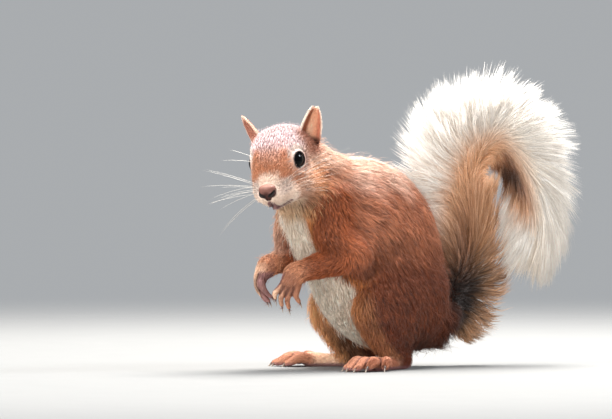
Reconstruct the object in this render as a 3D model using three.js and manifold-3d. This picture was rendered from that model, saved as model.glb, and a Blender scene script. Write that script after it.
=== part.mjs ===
// Red squirrel: a still, life-size model of the live animal, sitting up on its hind feet.
// Millimetres, +Z up. It faces -X with its left side toward -Y, its soles stand on Z = 0 and the
// origin lies under the middle of its box. The solids reach out to the tips of the coat.
import * as THREE from "three";
import { mergeVertices } from "three/addons/utils/BufferGeometryUtils.js";
import Module from "manifold-3d";

const wasm = await Module();
wasm.setup();

// ------------------------------------------------------------------ driving dimensions
const GAP = 0.3; // the thin cut between two neighbouring solids
const SLACK = 0.1; // how far a face may move when needless vertices are taken out
const REACH = 600; // side of the blocks that cut solids in two, larger than the animal
const CELL = { head: 3.9, body: 9.2, leg: 8, arm: 5, foot: 4.4, tail: 11.5 }; // mesh size of each region
const SOFT = { cheeks: 3, arm: 4, face: 5, leg: 8, body: 9 }; // width of the fillets where limbs flow together
const SIDES = [
  { tag: "l", s: -1 }, // the animal's left, toward -Y
  { tag: "r", s: 1 },
];

// Limbs are oval sections on a smooth line: [x, y, z, half depth, half width]
const TRUNK = [
  [-43, 0, 102, 20, 20.5],
  [-27, 0, 90, 32.5, 26.5],
  [-8, 0, 78, 44, 29.5],
  [2, 0, 56, 43, 30],
  [10, 0, 42, 35, 27.5],
];
const NECK = [
  [-38, 0, 102, 22, 20],
  [-50, 0, 114, 20, 18],
  [-60, -2, 122, 17, 16],
];
const thigh = (s) => [
  [15, 18 * s, 43, 24, 14],
  [3, 22 * s, 40, 27, 15],
  [-8, 24 * s, 39, 19, 13],
];
const shank = (s) => [
  [-10, 24 * s, 30, 15, 11],
  [-4, 22 * s, 18, 12, 9],
  [2, 20 * s, 9, 8.5, 7.5],
];
const UPPER_ARM = {
  l: [[-38, -15, 95, 14, 11], [-39, -19, 80, 13, 10], [-28, -25, 66, 10, 9]],
  r: [[-38, 15, 95, 14, 11], [-45, 17, 79, 13, 10], [-41, 20, 64, 9.5, 9]],
};
const FOREARM = {
  l: [[-28, -25, 66, 10, 9], [-45, -17, 61, 8.2, 7.5], [-59, -9.5, 56, 5.6, 5.6]],
  r: [[-41, 20, 64, 9.5, 9], [-53, 16, 62.5, 7.6, 7], [-65, 11, 60, 5.6, 5.4]],
};
// Hands: wrist, palm and knuckles, the way the knuckles run, and the tip of each finger
const HAND = {
  l: {
    palm: [[-59, -9.5, 56, 5.6, 5.6], [-62, -9.5, 50.5, 4.6, 6.4], [-63, -9.6, 46, 3.4, 6.4]],
    across: [0.84, -0.5, 0],
    tips: [[-70.5, -6.5, 42], [-67, -8, 38], [-63.5, -10, 36.5], [-58.5, -13, 40]],
  },
  r: {
    palm: [[-65, 11, 60, 5.6, 5.4], [-70, 10.5, 54.5, 4.4, 5.8], [-71.5, 10, 49, 3.4, 5.8]],
    across: [0.35, 0.93, 0],
    tips: [[-67, 5, 42.5], [-67, 7.5, 40], [-67, 10.5, 40], [-67, 14, 42.5]],
  },
};
const FINGER = { root: 2.2, tip: 1.3, spread: 3.1, rise: 2, bow: [-1.6, 0, 0.4], claw: 2.6 };

// Hind feet: how far they turn out, and each toe's root and tip from the heel, along and across
const FOOT = { heel: [7, 20], turnOut: 30, claw: 4.2, root: 3.2, tip: 2.1 };
const FOOT_SECTIONS = [
  [0, 0, 4.2, 5.4, 5.6],
  [17, 0, 3.2, 4, 5.8],
  [34, 0, 3.8, 4.8, 8.5],
];
const TOES = [
  { root: [34, -6.5], tip: [47, -11] },
  { root: [37, -4], tip: [53, -5.5] },
  { root: [38, 0], tip: [54.5, 0] },
  { root: [37, 4], tip: [52, 6] },
  { root: [31, 7], tip: [41.5, 11.5] },
];
const TOE_LIFT = { root: 4.6, knuckle: 6.6, tip: 2.3 }; // heights of a toe's line over the ground
const CLAW = { foot: 0.75, root: 0.72, middle: 0.55, point: 0.26, drop: 0.35, clear: 0.5 };

// The tail rises behind the back, curls over away from it and falls; the plume is widest outside
const TAIL = [
  [48, 0, 20, 12, 10],
  [60, 0, 40, 24, 14],
  [60, 0, 64, 26, 16],
  [54, 0, 90, 28, 17],
  [48, 0, 114, 31, 17.5],
  [58, 0, 130, 35, 18],
  [80, 0, 136, 35, 18],
  [98, -1, 124, 34, 17.5],
  [106, -3, 104, 28, 16],
  [107, -4, 82, 25, 14.5],
  [104, -5, 66, 17, 11],
  [101, -6, 55, 7, 6],
];
const TAIL_CUTS = { base: 48, crown: 108, middle: 82.5, inner: 84 }; // two levels and two upright cuts

// Where the thin cuts run: a point of each plane and its normal
const SHOULDERS = [[-43, 0, 106], [0.86, 0, -0.5]];
const NAPE = [[-55.5, 0, 117], [0.97, 0.2, -0.14]];
const ELBOW_DROP = -18;
const knee = (s) => [[-8, 24 * s, 21], [0.25, 0, -1]];
const hip = (s) => [[0, 12 * s, 0], [0, s, 0]];
const shoulder = (s, top) => [[top[0], 7 * s, top[2]], [-0.5, 0.85 * s, -0.2]];

// The room each region's mesh is made in: its lowest and highest corners
const ROOM = {
  head: [[-110, -50, 60], [-25, 40, 150]],
  trunk: [[-75, -50, 0], [70, 50, 145]],
  arm: [[-90, -45, 28], [-10, 40, 115]],
  tail: [[20, -45, 5], [150, 45, 180]],
  leg: (s) => (s < 0 ? [[-50, -60, 2], [55, -4, 95]] : [[-50, 4, 2], [55, 60, 95]]),
  foot: (s) => (s < 0 ? [[-50, -62, 0], [25, -5, 16]] : [[-50, 5, 0], [25, 62, 16]]),
};

// The head has its own frame: x forward to the nose tip at zero, y to its left, z up
const HEAD = { nose: [-87, -25.4, 102.3], turn: 41, nod: 30, tilt: 7 };
const SKULL = [
  [-2.6, 0, -0.6, 3.6, 4],
  [-9, 0, -1, 6.6, 6.4],
  [-17, 0, 0.6, 10.6, 10],
  [-26, 0, 3, 15.2, 16.2],
  [-35, 0, 3.6, 17, 17.4],
  [-43, 0, 2, 15, 14.5],
];
const cheek = (s) => [[-17, 7 * s, -6.5, 8.5, 8], [-29, 10 * s, -8.5, 11.5, 9]];
const JAW = [[-7.5, 0, -11, 3.8, 3.9], [-16, 0, -12, 5, 5.6], [-28, 0, -11.5, 6.5, 8]];
const lip = (s) => [[-5.5, 3.2 * s, -4.4, 4.3, 3.4], [-12.5, 6 * s, -5.2, 5.4, 4.6]];
const EYE = { place: [-24.8, 13.9, 7], radius: 4.8 };
const NOSE = { place: [-1.6, 0, 0.2], size: [2.6, 4, 3.2] };
const EAR = {
  root: [-42.5, 13.5, 3],
  tip: [-53, 22, 25.5],
  opens: [0.65, 0.75, 0],
  width: 7,
  brim: 0.5,
  cup: 3.4,
  thick: 1.5,
  rows: 5,
  points: 5,
};

const COLOUR = {
  russet: 0xa65f3c,
  plume: 0xe6cfb0,
  ear: 0xc98a6a,
  claw: 0x3a2c28,
  eye: 0x0b0a0c,
  nose: 0x7d5850,
};
const FINISH = { coat: 0.85, plume: 0.95, claw: 0.4, eye: 0.08, nose: 0.45 }; // roughness

// ------------------------------------------------------------------ soft shapes as distance fields
const SIDEWAYS = [0, 1, 0];

/** A point of the smooth line through a limb's sections, between section i and the next. */
function between(sections, i, t) {
  const at = (k) => sections[Math.min(Math.max(k, 0), sections.length - 1)];
  const [a, b, c, d] = [at(i - 1), at(i), at(i + 1), at(i + 2)];
  return b.map((v, k) => {
    const bend = 2 * a[k] - 5 * v + 4 * c[k] - d[k];
    const twist = 3 * (v - c[k]) + d[k] - a[k];
    return v + 0.5 * t * (c[k] - a[k] + t * (bend + t * twist));
  });
}

/** Distance to a limb: below zero inside it. Its half width runs along `side`. */
function limb(sections, side = SIDEWAYS, steps = 4) {
  const line = [];
  for (let i = 0; i < sections.length - 1; i++)
    for (let k = 0; k < steps; k++) line.push(between(sections, i, k / steps));
  line.push(sections[sections.length - 1]);
  return (x, y, z) => {
    let best = Infinity;
    for (let i = 0; i < line.length - 1; i++) {
      const [a, b] = [line[i], line[i + 1]];
      const [ex, ey, ez] = [b[0] - a[0], b[1] - a[1], b[2] - a[2]];
      const along = ((x - a[0]) * ex + (y - a[1]) * ey + (z - a[2]) * ez) / (ex * ex + ey * ey + ez * ez);
      const t = Math.min(Math.max(along, 0), 1);
      const [dx, dy, dz] = [x - a[0] - t * ex, y - a[1] - t * ey, z - a[2] - t * ez];
      const across = dx * side[0] + dy * side[1] + dz * side[2];
      const reach = dx * dx + dy * dy + dz * dz;
      const deep = a[3] + t * (b[3] - a[3]);
      const wide = a[4] + t * (b[4] - a[4]);
      const ratio = Math.sqrt((reach - across * across) / deep ** 2 + (across / wide) ** 2) + 1e-9;
      best = Math.min(best, Math.sqrt(reach) * (1 - 1 / ratio));
    }
    return best;
  };
}

/** One soft shape that flows round several, with fillets about `soft` millimetres wide. */
function blend(soft, ...fields) {
  return (x, y, z) =>
    fields
      .map((field) => field(x, y, z))
      .reduce((a, b) => Math.min(a, b) - (Math.max(soft - Math.abs(a - b), 0) ** 2 / soft) * 0.25);
}

/** Turns a field of the head's own frame into one of the model's frame. */
function inHead(field) {
  const back = HEAD_FRAME.clone().invert();
  const p = new THREE.Vector3();
  return (x, y, z) => field(...p.set(x, y, z).applyMatrix4(back));
}

// ------------------------------------------------------------------ meshes and solids
/** Direction in which a field grows fastest, and its value, at a point. */
function slope(field, p) {
  const h = 0.05;
  const f = field(p.x, p.y, p.z);
  const g = new THREE.Vector3(
    field(p.x + h, p.y, p.z) - f,
    field(p.x, p.y + h, p.z) - f,
    field(p.x, p.y, p.z + h) - f,
  ).divideScalar(h);
  return [f, g];
}

/** Closed mesh of a field's zero surface inside a box, every vertex then moved out by `swell`. */
function meshOf(field, low, high, cell, swell = 0) {
  const mid = low.map((v, k) => (v + high[k]) / 2);
  const half = low.map((v, k) => (high[k] - v) / 2);
  const boxed = (x, y, z) =>
    Math.max(field(x, y, z), ...[x, y, z].map((v, k) => Math.abs(v - mid[k]) - half[k]));
  const count = low.map((v, k) => Math.ceil((high[k] - v) / cell) + 3);
  const start = low.map((v, k) => mid[k] - ((count[k] - 1) / 2) * cell);
  const index = (i, j, k) => i + count[0] * (j + count[1] * k);
  const value = new Float64Array(count[0] * count[1] * count[2]);
  for (let k = 0; k < count[2]; k++)
    for (let j = 0; j < count[1]; j++)
      for (let i = 0; i < count[0]; i++)
        value[index(i, j, k)] = boxed(start[0] + i * cell, start[1] + j * cell, start[2] + k * cell);
  const points = [];
  const vertexOf = new Map();
  const vertex = (i, j, k) => {
    const key = index(i, j, k);
    if (vertexOf.has(key)) return vertexOf.get(key);
    const p = new THREE.Vector3();
    let hits = 0;
    for (let axis = 0; axis < 3; axis++)
      for (let corner = 0; corner < 4; corner++) {
        const from = [i, j, k];
        from[(axis + 1) % 3] += corner & 1;
        from[(axis + 2) % 3] += corner >> 1;
        const to = [...from];
        to[axis] += 1;
        const [a, b] = [value[index(...from)], value[index(...to)]];
        if (a < 0 === b < 0) continue;
        from[axis] += a / (a - b);
        p.add(new THREE.Vector3(...from));
        hits += 1;
      }
    p.divideScalar(hits).multiplyScalar(cell).add(new THREE.Vector3(...start));
    for (let pass = 0; pass < 3; pass++) {
      const [f, g] = slope(boxed, p);
      p.addScaledVector(g, -THREE.MathUtils.clamp(f, -cell / 3, cell / 3) / Math.max(g.lengthSq(), 0.3));
    }
    if (swell) p.addScaledVector(slope(boxed, p)[1].normalize(), swell);
    points.push(p);
    vertexOf.set(key, points.length - 1);
    return points.length - 1;
  };
  const faces = [];
  for (let k = 1; k < count[2] - 1; k++)
    for (let j = 1; j < count[1] - 1; j++)
      for (let i = 1; i < count[0] - 1; i++)
        for (let axis = 0; axis < 3; axis++) {
          const here = [i, j, k];
          const next = [...here];
          next[axis] += 1;
          const inside = value[index(...here)] < 0;
          if (inside === value[index(...next)] < 0) continue;
          const ring = [[0, 0], [-1, 0], [-1, -1], [0, -1]].map(([u, v]) => {
            const c = [...here];
            c[(axis + 1) % 3] += u;
            c[(axis + 2) % 3] += v;
            return vertex(...c);
          });
          if (!inside) ring.reverse();
          const [a, b, c, d] = ring;
          if (points[a].distanceTo(points[c]) < points[b].distanceTo(points[d])) faces.push(a, b, c, a, c, d);
          else faces.push(a, b, d, b, c, d);
        }
  return closedMesh(points, faces);
}

/** Indexed geometry from points and triangles. */
function closedMesh(points, faces) {
  const geometry = new THREE.BufferGeometry().setFromPoints(points);
  geometry.setIndex(faces);
  return geometry;
}

/** Rings of equal length joined into a closed mesh; a middle point closes each end. */
function loft(rings) {
  const sides = rings[0].length;
  const points = rings.flat();
  const faces = [];
  for (let r = 0; r < rings.length - 1; r++)
    for (let k = 0; k < sides; k++) {
      const [a, b] = [r * sides + k, r * sides + ((k + 1) % sides)];
      faces.push(a, b, b + sides, a, b + sides, a + sides);
    }
  [0, rings.length - 1].forEach((r) => {
    const middle = rings[r].reduce((sum, p) => sum.add(p), new THREE.Vector3()).divideScalar(sides);
    points.push(middle);
    for (let k = 0; k < sides; k++) {
      const [a, b] = [r * sides + k, r * sides + ((k + 1) % sides)];
      faces.push(...(r ? [a, b, points.length - 1] : [b, a, points.length - 1]));
    }
  });
  return closedMesh(points, faces);
}

/** Round tapering rod along a smooth line, such as a toe, a finger or a claw. */
function rod(path, radii, sides = 6, rows = 3) {
  const curve = new THREE.CatmullRomCurve3(path);
  const frames = curve.computeFrenetFrames(rows, false);
  const rings = [];
  for (let r = 0; r <= rows; r++) {
    const t = r / rows;
    const place = t * (radii.length - 1);
    const k = Math.min(Math.floor(place), radii.length - 2);
    const radius = THREE.MathUtils.lerp(radii[k], radii[k + 1], place - k);
    const centre = curve.getPointAt(t);
    rings.push(
      Array.from({ length: sides }, (_, n) => {
        const turn = (2 * Math.PI * n) / sides;
        return centre
          .clone()
          .addScaledVector(frames.normals[r], Math.cos(turn) * radius)
          .addScaledVector(frames.binormals[r], Math.sin(turn) * radius);
      }),
    );
  }
  return loft(rings);
}

/** A closed mesh as a solid that can be joined and cut. */
function solid(geometry, matrix) {
  const bare = new THREE.BufferGeometry();
  bare.setAttribute("position", geometry.getAttribute("position").clone());
  if (geometry.index) bare.setIndex(geometry.index.clone());
  if (matrix) bare.applyMatrix4(matrix);
  const merged = mergeVertices(bare, 1e-4);
  const vertProperties = new Float32Array(merged.getAttribute("position").array);
  const triVerts = new Uint32Array(merged.index.array);
  return new wasm.Manifold(new wasm.Mesh({ numProp: 3, vertProperties, triVerts }));
}

/** Slides vertices onto a neighbour where that moves no face by more than `slack`. */
function thinned(points, faces, slack) {
  const around = points.map(() => new Set());
  faces.forEach((face, f) => face.forEach((v) => around[v].add(f)));
  const normal = (a, b, c) => b.clone().sub(a).cross(c.clone().sub(a));
  const ringOf = (v) => new Set([...around[v]].flatMap((f) => faces[f]).filter((w) => w !== v));
  /** How far the faces round v move if v slides onto w, or Infinity where the mesh would fold. */
  const cost = (v, w) => {
    let worst = 0;
    for (const f of around[v]) {
      const old = faces[f].map((k) => points[k]);
      const before = normal(...old);
      if (before.length() < 1e-9) continue;
      const unit = before.clone().normalize();
      worst = Math.max(worst, Math.abs(points[w].clone().sub(points[v]).dot(unit)));
      if (faces[f].includes(w)) continue;
      const after = normal(...faces[f].map((k) => points[k === v ? w : k]));
      if (after.dot(unit) < 0.3 * after.length() || after.length() < 1e-3) return Infinity;
    }
    return worst;
  };
  for (let changed = 1; changed > 0; ) {
    changed = 0;
    for (let v = 0; v < points.length; v++) {
      const ring = ringOf(v);
      let [best, target] = [slack, -1];
      for (const w of ring) {
        const price = cost(v, w);
        if (price < best && [...ringOf(w)].filter((k) => ring.has(k)).length === 2) [best, target] = [price, w];
      }
      if (target < 0) continue;
      for (const f of around[v]) {
        if (faces[f].includes(target)) faces[f].forEach((k) => k !== v && around[k].delete(f));
        else {
          faces[f] = faces[f].map((k) => (k === v ? target : k));
          around[target].add(f);
        }
      }
      around[v].clear();
      changed += 1;
    }
  }
  const kept = faces.filter((face, f) => face.every((v) => around[v].has(f)));
  const order = new Map([...new Set(kept.flat())].map((v, k) => [v, k]));
  return [[...order.keys()].map((v) => points[v]), kept.map((face) => face.map((v) => order.get(v)))];
}

/** The geometry of a finished solid. */
function geometryOf(manifold) {
  const { vertProperties, triVerts } = manifold.getMesh();
  const points = Array.from({ length: vertProperties.length / 3 }, (_, k) =>
    new THREE.Vector3().fromArray(vertProperties, 3 * k),
  );
  const triangles = Array.from({ length: triVerts.length / 3 }, (_, k) => [...triVerts.slice(3 * k, 3 * k + 3)]);
  const [corners, faces] = thinned(points, triangles, SLACK);
  return closedMesh(corners, faces.flat());
}

/** A block whose one face lies on a plane, on the side that the normal points to. */
function block(point, normal, offset = 0) {
  const n = new THREE.Vector3(...normal).normalize();
  const turn = new THREE.Quaternion().setFromUnitVectors(new THREE.Vector3(0, 0, 1), n);
  const centre = new THREE.Vector3(...point).addScaledVector(n, REACH / 2 + offset);
  return solid(
    new THREE.BoxGeometry(REACH, REACH, REACH),
    new THREE.Matrix4().compose(centre, turn, new THREE.Vector3(1, 1, 1)),
  );
}

/** The largest body of a solid that cuts have left in pieces. */
function largest(manifold) {
  const bodies = manifold.decompose();
  return bodies.reduce((a, b) => (a.volume() > b.volume() ? a : b));
}

/** Parts a solid at a plane with the thin cut: [the side the normal points to, the other side]. */
function part(whole, point, normal) {
  const back = normal.map((v) => -v);
  return [
    whole.intersect(block(point, normal, GAP / 2)),
    whole.intersect(block(point, back, GAP / 2)),
  ];
}

// ------------------------------------------------------------------ regions of the body
const HEAD_FRAME = new THREE.Matrix4().compose(
  new THREE.Vector3(...HEAD.nose),
  new THREE.Quaternion()
    .setFromAxisAngle(new THREE.Vector3(0, 0, 1), THREE.MathUtils.degToRad(180 + HEAD.turn))
    .multiply(new THREE.Quaternion().setFromAxisAngle(new THREE.Vector3(0, 1, 0), THREE.MathUtils.degToRad(HEAD.nod)))
    .multiply(new THREE.Quaternion().setFromAxisAngle(new THREE.Vector3(1, 0, 0), THREE.MathUtils.degToRad(HEAD.tilt))),
  new THREE.Vector3(1, 1, 1),
);
const headPoint = (x, y, z) => new THREE.Vector3(x, y, z).applyMatrix4(HEAD_FRAME);

const skullField = inHead(
  blend(
    SOFT.face,
    limb(SKULL),
    blend(SOFT.cheeks, limb(cheek(-1)), limb(cheek(1))),
    limb(JAW),
    limb(lip(-1)),
    limb(lip(1)),
  ),
);
const trunkAndNeck = blend(SOFT.body, limb(TRUNK), limb(NECK));
const headAndNeck = blend(SOFT.body, skullField, trunkAndNeck);

/** Solids of the head, neck and trunk, before legs and arms take their room, and their swollen rooms. */
function axis() {
  const fine = solid(meshOf(headAndNeck, ...ROOM.head, CELL.head));
  const coarse = solid(meshOf(trunkAndNeck, ...ROOM.trunk, CELL.body));
  const [behind, ahead] = part(fine, ...NAPE);
  return {
    head: ahead,
    neck: part(behind, ...SHOULDERS)[1],
    trunk: part(coarse, ...SHOULDERS)[0],
    headRoom: solid(meshOf(headAndNeck, ...ROOM.head, CELL.head, GAP)),
    trunkRoom: solid(meshOf(trunkAndNeck, ...ROOM.trunk, CELL.body, GAP)),
  };
}

/** An ear: a cupped leaf that opens forward and outward, in the head's frame. */
function ear(s) {
  const root = new THREE.Vector3(EAR.root[0], -EAR.root[1] * s, EAR.root[2]);
  const tip = new THREE.Vector3(EAR.tip[0], -EAR.tip[1] * s, EAR.tip[2]);
  const up = tip.clone().sub(root);
  const open = new THREE.Vector3(EAR.opens[0], -EAR.opens[1] * s, EAR.opens[2]);
  const across = new THREE.Vector3().crossVectors(up, open).normalize();
  const out = new THREE.Vector3().crossVectors(across, up).normalize();
  const rings = [];
  for (let r = 0; r <= EAR.rows; r++) {
    const t = r / EAR.rows;
    const wide = EAR.width * Math.sqrt(1 - t ** 2.2) * (0.78 + 0.5 * t * (1 - t)) + EAR.brim; // a leaf's outline
    const deep = EAR.cup * (1 - 0.7 * t);
    const spine = root.clone().addScaledVector(up, t);
    const edge = (turn, lift) =>
      spine
        .clone()
        .addScaledVector(across, Math.sin(turn) * wide)
        .addScaledVector(out, -Math.cos(turn) * deep + lift);
    const turns = Array.from({ length: EAR.points }, (_, n) => Math.PI * (n / (EAR.points - 1) - 0.5));
    const front = turns.map((turn) => edge(turn, EAR.thick / 2));
    const backs = turns.map((turn) => edge(turn, -EAR.thick / 2)).reverse();
    rings.push([...front, ...backs]);
  }
  return solid(loft(rings), HEAD_FRAME);
}

/** One arm: upper arm, forearm and hand with its fingers and claws, all in one side's pose. */
function arm({ tag, s }) {
  const [upper, fore, hand] = [UPPER_ARM[tag], FOREARM[tag], HAND[tag]];
  const field = blend(SOFT.arm, limb(upper), limb(fore), limb(hand.palm, hand.across));
  const whole = solid(meshOf(field, ...ROOM.arm, CELL.arm));
  const swollen = solid(meshOf(field, ...ROOM.arm, CELL.arm, GAP));
  const [elbow, wrist] = [upper[2], fore[2]];
  const joint = shoulder(s, upper[0]);
  const room = swollen.intersect(block(...joint, -GAP / 2));
  const bend = [fore[1][0] - upper[1][0], fore[1][1] - upper[1][1], ELBOW_DROP];
  const [lower, top] = part(part(whole, ...joint)[0], elbow.slice(0, 3), bend);
  const reach = [0, 1, 2].map((k) => hand.palm[1][k] - fore[1][k]);
  let [palm, forearm] = part(lower, wrist.slice(0, 3), reach);
  const claws = {};
  const knuckles = new THREE.Vector3(...hand.palm[2]);
  hand.tips.forEach((tip, n) => {
    const root = knuckles.clone().addScaledVector(new THREE.Vector3(...hand.across), FINGER.spread * (n - 1.5));
    root.z += FINGER.rise;
    const end = new THREE.Vector3(...tip);
    const bow = root.clone().lerp(end, 0.55).add(new THREE.Vector3(...FINGER.bow));
    palm = palm.add(solid(rod([root, bow, end], [FINGER.root, FINGER.root, FINGER.tip])));
    claws[`claw_hand_${tag}_${n + 1}`] = claw([root, bow, end], FINGER.claw, FINGER.tip);
  });
  return { nodes: { [`upper_arm_${tag}`]: top, [`forearm_${tag}`]: forearm, [`hand_${tag}`]: palm }, room, claws };
}

/** A claw that begins just past the end of its digit, whose line is given, and curves down. */
function claw(digit, length, radius) {
  const along = new THREE.CatmullRomCurve3(digit).getTangent(1);
  const start = digit[2].clone().addScaledVector(along, 2 * GAP);
  const middle = start.clone().addScaledVector(along, length * 0.55);
  const point = start.clone().addScaledVector(along, length * 0.9);
  point.z = Math.max(point.z - length * CLAW.drop, CLAW.clear);
  return solid(rod([start, middle, point], [radius * CLAW.root, radius * CLAW.middle, CLAW.point], 4, 2));
}

/** One hind leg: thigh, shank and foot with its toes and claws. */
function leg({ tag, s }) {
  const field = blend(SOFT.leg, limb(thigh(s)), limb(shank(s)));
  const whole = solid(meshOf(field, ...ROOM.leg(s), CELL.leg));
  const swollen = solid(meshOf(field, ...ROOM.leg(s), CELL.leg, GAP));
  const room = swollen.intersect(block(...hip(s), -GAP / 2));
  const [lower, upper] = part(part(whole, ...hip(s))[0], ...knee(s));
  const turn = THREE.MathUtils.degToRad(FOOT.turnOut);
  const [ax, ay] = [-Math.cos(turn), s * Math.sin(turn)]; // along the foot
  const [ox, oy] = [Math.sin(turn), s * Math.cos(turn)]; // outward across it
  const place = (along, out, z) =>
    new THREE.Vector3(FOOT.heel[0] + along * ax + out * ox, s * FOOT.heel[1] + along * ay + out * oy, z);
  const sections = FOOT_SECTIONS.map(([along, out, z, deep, wide]) => [...place(along, out, z), deep, wide]);
  const sole = limb(sections, [ox, oy, 0]);
  let foot = solid(meshOf(sole, ...ROOM.foot(s), CELL.foot));
  const claws = {};
  TOES.forEach((toe, n) => {
    const root = place(...toe.root, TOE_LIFT.root);
    const end = place(...toe.tip, TOE_LIFT.tip);
    const knuckle = root.clone().lerp(end, 0.5).setZ(TOE_LIFT.knuckle);
    foot = foot.add(solid(rod([root, knuckle, end], [FOOT.root, FOOT.root, FOOT.tip])));
    claws[`claw_foot_${tag}_${n + 1}`] = claw([root, knuckle, end], FOOT.claw, FOOT.tip * CLAW.foot);
  });
  foot = foot.intersect(block([0, 0, 0], [0, 0, 1]));
  const shankSolid = lower.subtract(solid(meshOf(sole, ...ROOM.foot(s), CELL.foot, GAP)));
  return { nodes: { [`thigh_${tag}`]: upper, [`shank_${tag}`]: shankSolid, [`foot_${tag}`]: foot }, room, claws };
}

/** The tail's plume in its lengths, from the rump round to the tip. */
function tail() {
  const [rising, over, falling] = [TAIL.slice(0, 6), TAIL.slice(3, 10), TAIL.slice(6)].map((length) =>
    solid(meshOf(limb(length), ...ROOM.tail, CELL.tail)),
  );
  const [near, far] = [TAIL_CUTS.middle, TAIL_CUTS.inner].map((x) => [[x, 0, 0], [1, 0, 0]]);
  const level = (z) => [[0, 0, z], [0, 0, 1]];
  const [, rise] = part(rising, ...level(TAIL_CUTS.crown));
  const [above, base] = part(rise, ...level(TAIL_CUTS.base));
  const [crown] = part(over, ...level(TAIL_CUTS.crown));
  const [outer, inner] = part(crown, ...near);
  const [, fall] = part(falling, ...level(TAIL_CUTS.crown));
  return {
    tail_base: part(base, ...near)[1],
    tail_rise: part(above, ...near)[1],
    tail_crown_front: inner,
    tail_crown_back: outer,
    tail_fall: part(fall, ...far)[0],
  };
}

// ------------------------------------------------------------------ assembly
const model = new THREE.Group();

/** Adds a named sub-part to the model. */
function addPart(name, manifold, color, roughness = FINISH.coat) {
  const material = new THREE.MeshStandardMaterial({ color, roughness, metalness: 0 });
  const mesh = new THREE.Mesh(geometryOf(largest(manifold)), material);
  mesh.name = name;
  model.add(mesh);
}

let { head, neck, trunk, headRoom, trunkRoom } = axis();
const plume = tail();
const arms = SIDES.map(arm);
const legs = SIDES.map(leg);
for (const { room } of legs) trunk = trunk.subtract(room);
for (const { room } of arms) {
  trunk = trunk.subtract(room);
  neck = neck.subtract(room);
}
for (const { s, tag } of SIDES) {
  const middle = headPoint(EYE.place[0], -EYE.place[1] * s, EYE.place[2]);
  const ball = (radius) =>
    solid(new THREE.SphereGeometry(radius, 12, 7), new THREE.Matrix4().setPosition(middle));
  head = head.subtract(ball(EYE.radius + GAP));
  addPart(`eye_${tag}`, ball(EYE.radius), COLOUR.eye, FINISH.eye);
  addPart(`ear_${tag}`, ear(s).subtract(headRoom), COLOUR.ear);
}
const pad = (grow) =>
  solid(
    new THREE.SphereGeometry(1, 10, 6),
    HEAD_FRAME.clone()
      .multiply(new THREE.Matrix4().setPosition(...NOSE.place))
      .scale(new THREE.Vector3(...NOSE.size.map((v) => v + grow))),
  );
head = head.subtract(pad(GAP));
addPart("nose", pad(0), COLOUR.nose, FINISH.nose);
addPart("head", head, COLOUR.russet);
addPart("neck", neck, COLOUR.russet);
addPart("trunk", trunk, COLOUR.russet);
for (const { nodes, claws } of [...arms, ...legs]) {
  for (const [name, piece] of Object.entries(nodes)) addPart(name, piece, COLOUR.russet);
  for (const [name, piece] of Object.entries(claws)) addPart(name, piece, COLOUR.claw, FINISH.claw);
}
for (const [name, piece] of Object.entries(plume)) {
  const clear = [trunkRoom, ...legs.map((one) => one.room)].reduce((a, b) => a.subtract(b), piece);
  addPart(name, clear, COLOUR.plume, FINISH.plume);
}

const reach = new THREE.Box3().setFromObject(model).getCenter(new THREE.Vector3());
model.position.set(-reach.x, -reach.y, 0);

export default model;
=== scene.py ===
"""Looks of a still, life-size red squirrel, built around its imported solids.

The body plan below is in millimetres in its own layout: +Z up, the animal faces -X and its left side is
toward -Y. Pieces are made in the layout and moved to the row frame, in metres, by the place of the eyes.
"""

import logging
import math
from collections.abc import Callable, Iterator, Sequence
from dataclasses import dataclass, fields
from enum import Enum
from functools import cached_property

import bpy
import numpy as np
import openvdb
from bpy.types import Material, Node, NodeSocket, Object
from mathutils import Matrix, Vector
from mathutils.kdtree import KDTree


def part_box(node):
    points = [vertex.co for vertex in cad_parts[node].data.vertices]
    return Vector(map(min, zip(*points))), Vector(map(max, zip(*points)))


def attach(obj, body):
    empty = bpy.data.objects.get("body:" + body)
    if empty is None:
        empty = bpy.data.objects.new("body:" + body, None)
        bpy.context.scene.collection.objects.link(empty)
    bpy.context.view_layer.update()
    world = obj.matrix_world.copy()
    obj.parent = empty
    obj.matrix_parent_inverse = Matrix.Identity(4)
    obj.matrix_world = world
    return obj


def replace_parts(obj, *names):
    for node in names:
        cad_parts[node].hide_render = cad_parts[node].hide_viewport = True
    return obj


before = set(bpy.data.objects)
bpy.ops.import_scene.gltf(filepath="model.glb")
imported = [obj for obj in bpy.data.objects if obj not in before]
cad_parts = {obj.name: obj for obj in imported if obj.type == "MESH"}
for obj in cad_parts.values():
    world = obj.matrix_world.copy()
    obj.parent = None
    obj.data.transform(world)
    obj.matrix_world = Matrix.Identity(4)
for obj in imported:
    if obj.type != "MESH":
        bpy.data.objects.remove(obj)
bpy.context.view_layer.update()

Array = np.ndarray
Row = tuple[float, ...]
log = logging.getLogger("squirrel")

MM = 0.001
FAR = 60.0  # distance given to places where a limb doesn't matter
SIDES = {"l": -1, "r": 1}  # the animal's left is toward -Y
UV_NAME = "OFBake"
PATCH = 0.003  # width of a tuft's patch on the map
COLOUR = "coat_colour"
CELL_HASH = np.array([73856093, 19349663, 83492791])


# ---- small mathematics
def unit(vectors: Array) -> Array:
    """Vectors at length one."""
    return vectors / np.maximum(np.linalg.norm(vectors, axis=-1, keepdims=True), 1e-9)


def smooth(low: float, high: float, values: Array) -> Array:
    """A soft step from 0 at low to 1 at high."""
    t = np.clip((values - low) / (high - low), 0.0, 1.0)
    return t * t * (3 - 2 * t)


def mix(a: Array, b: Array, share: Array) -> Array:
    """Blend of two sets of vectors or colours by a share for each point."""
    share = np.asarray(share)[..., None]
    return a * (1 - share) + b * share


def linear(*rgb: float) -> Array:
    """A colour given in display values from 0 to 255, in linear light."""
    c = np.array(rgb) / 255
    return np.where(c <= 0.04045, c / 12.92, ((c + 0.055) / 1.055) ** 2.4)


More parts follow.
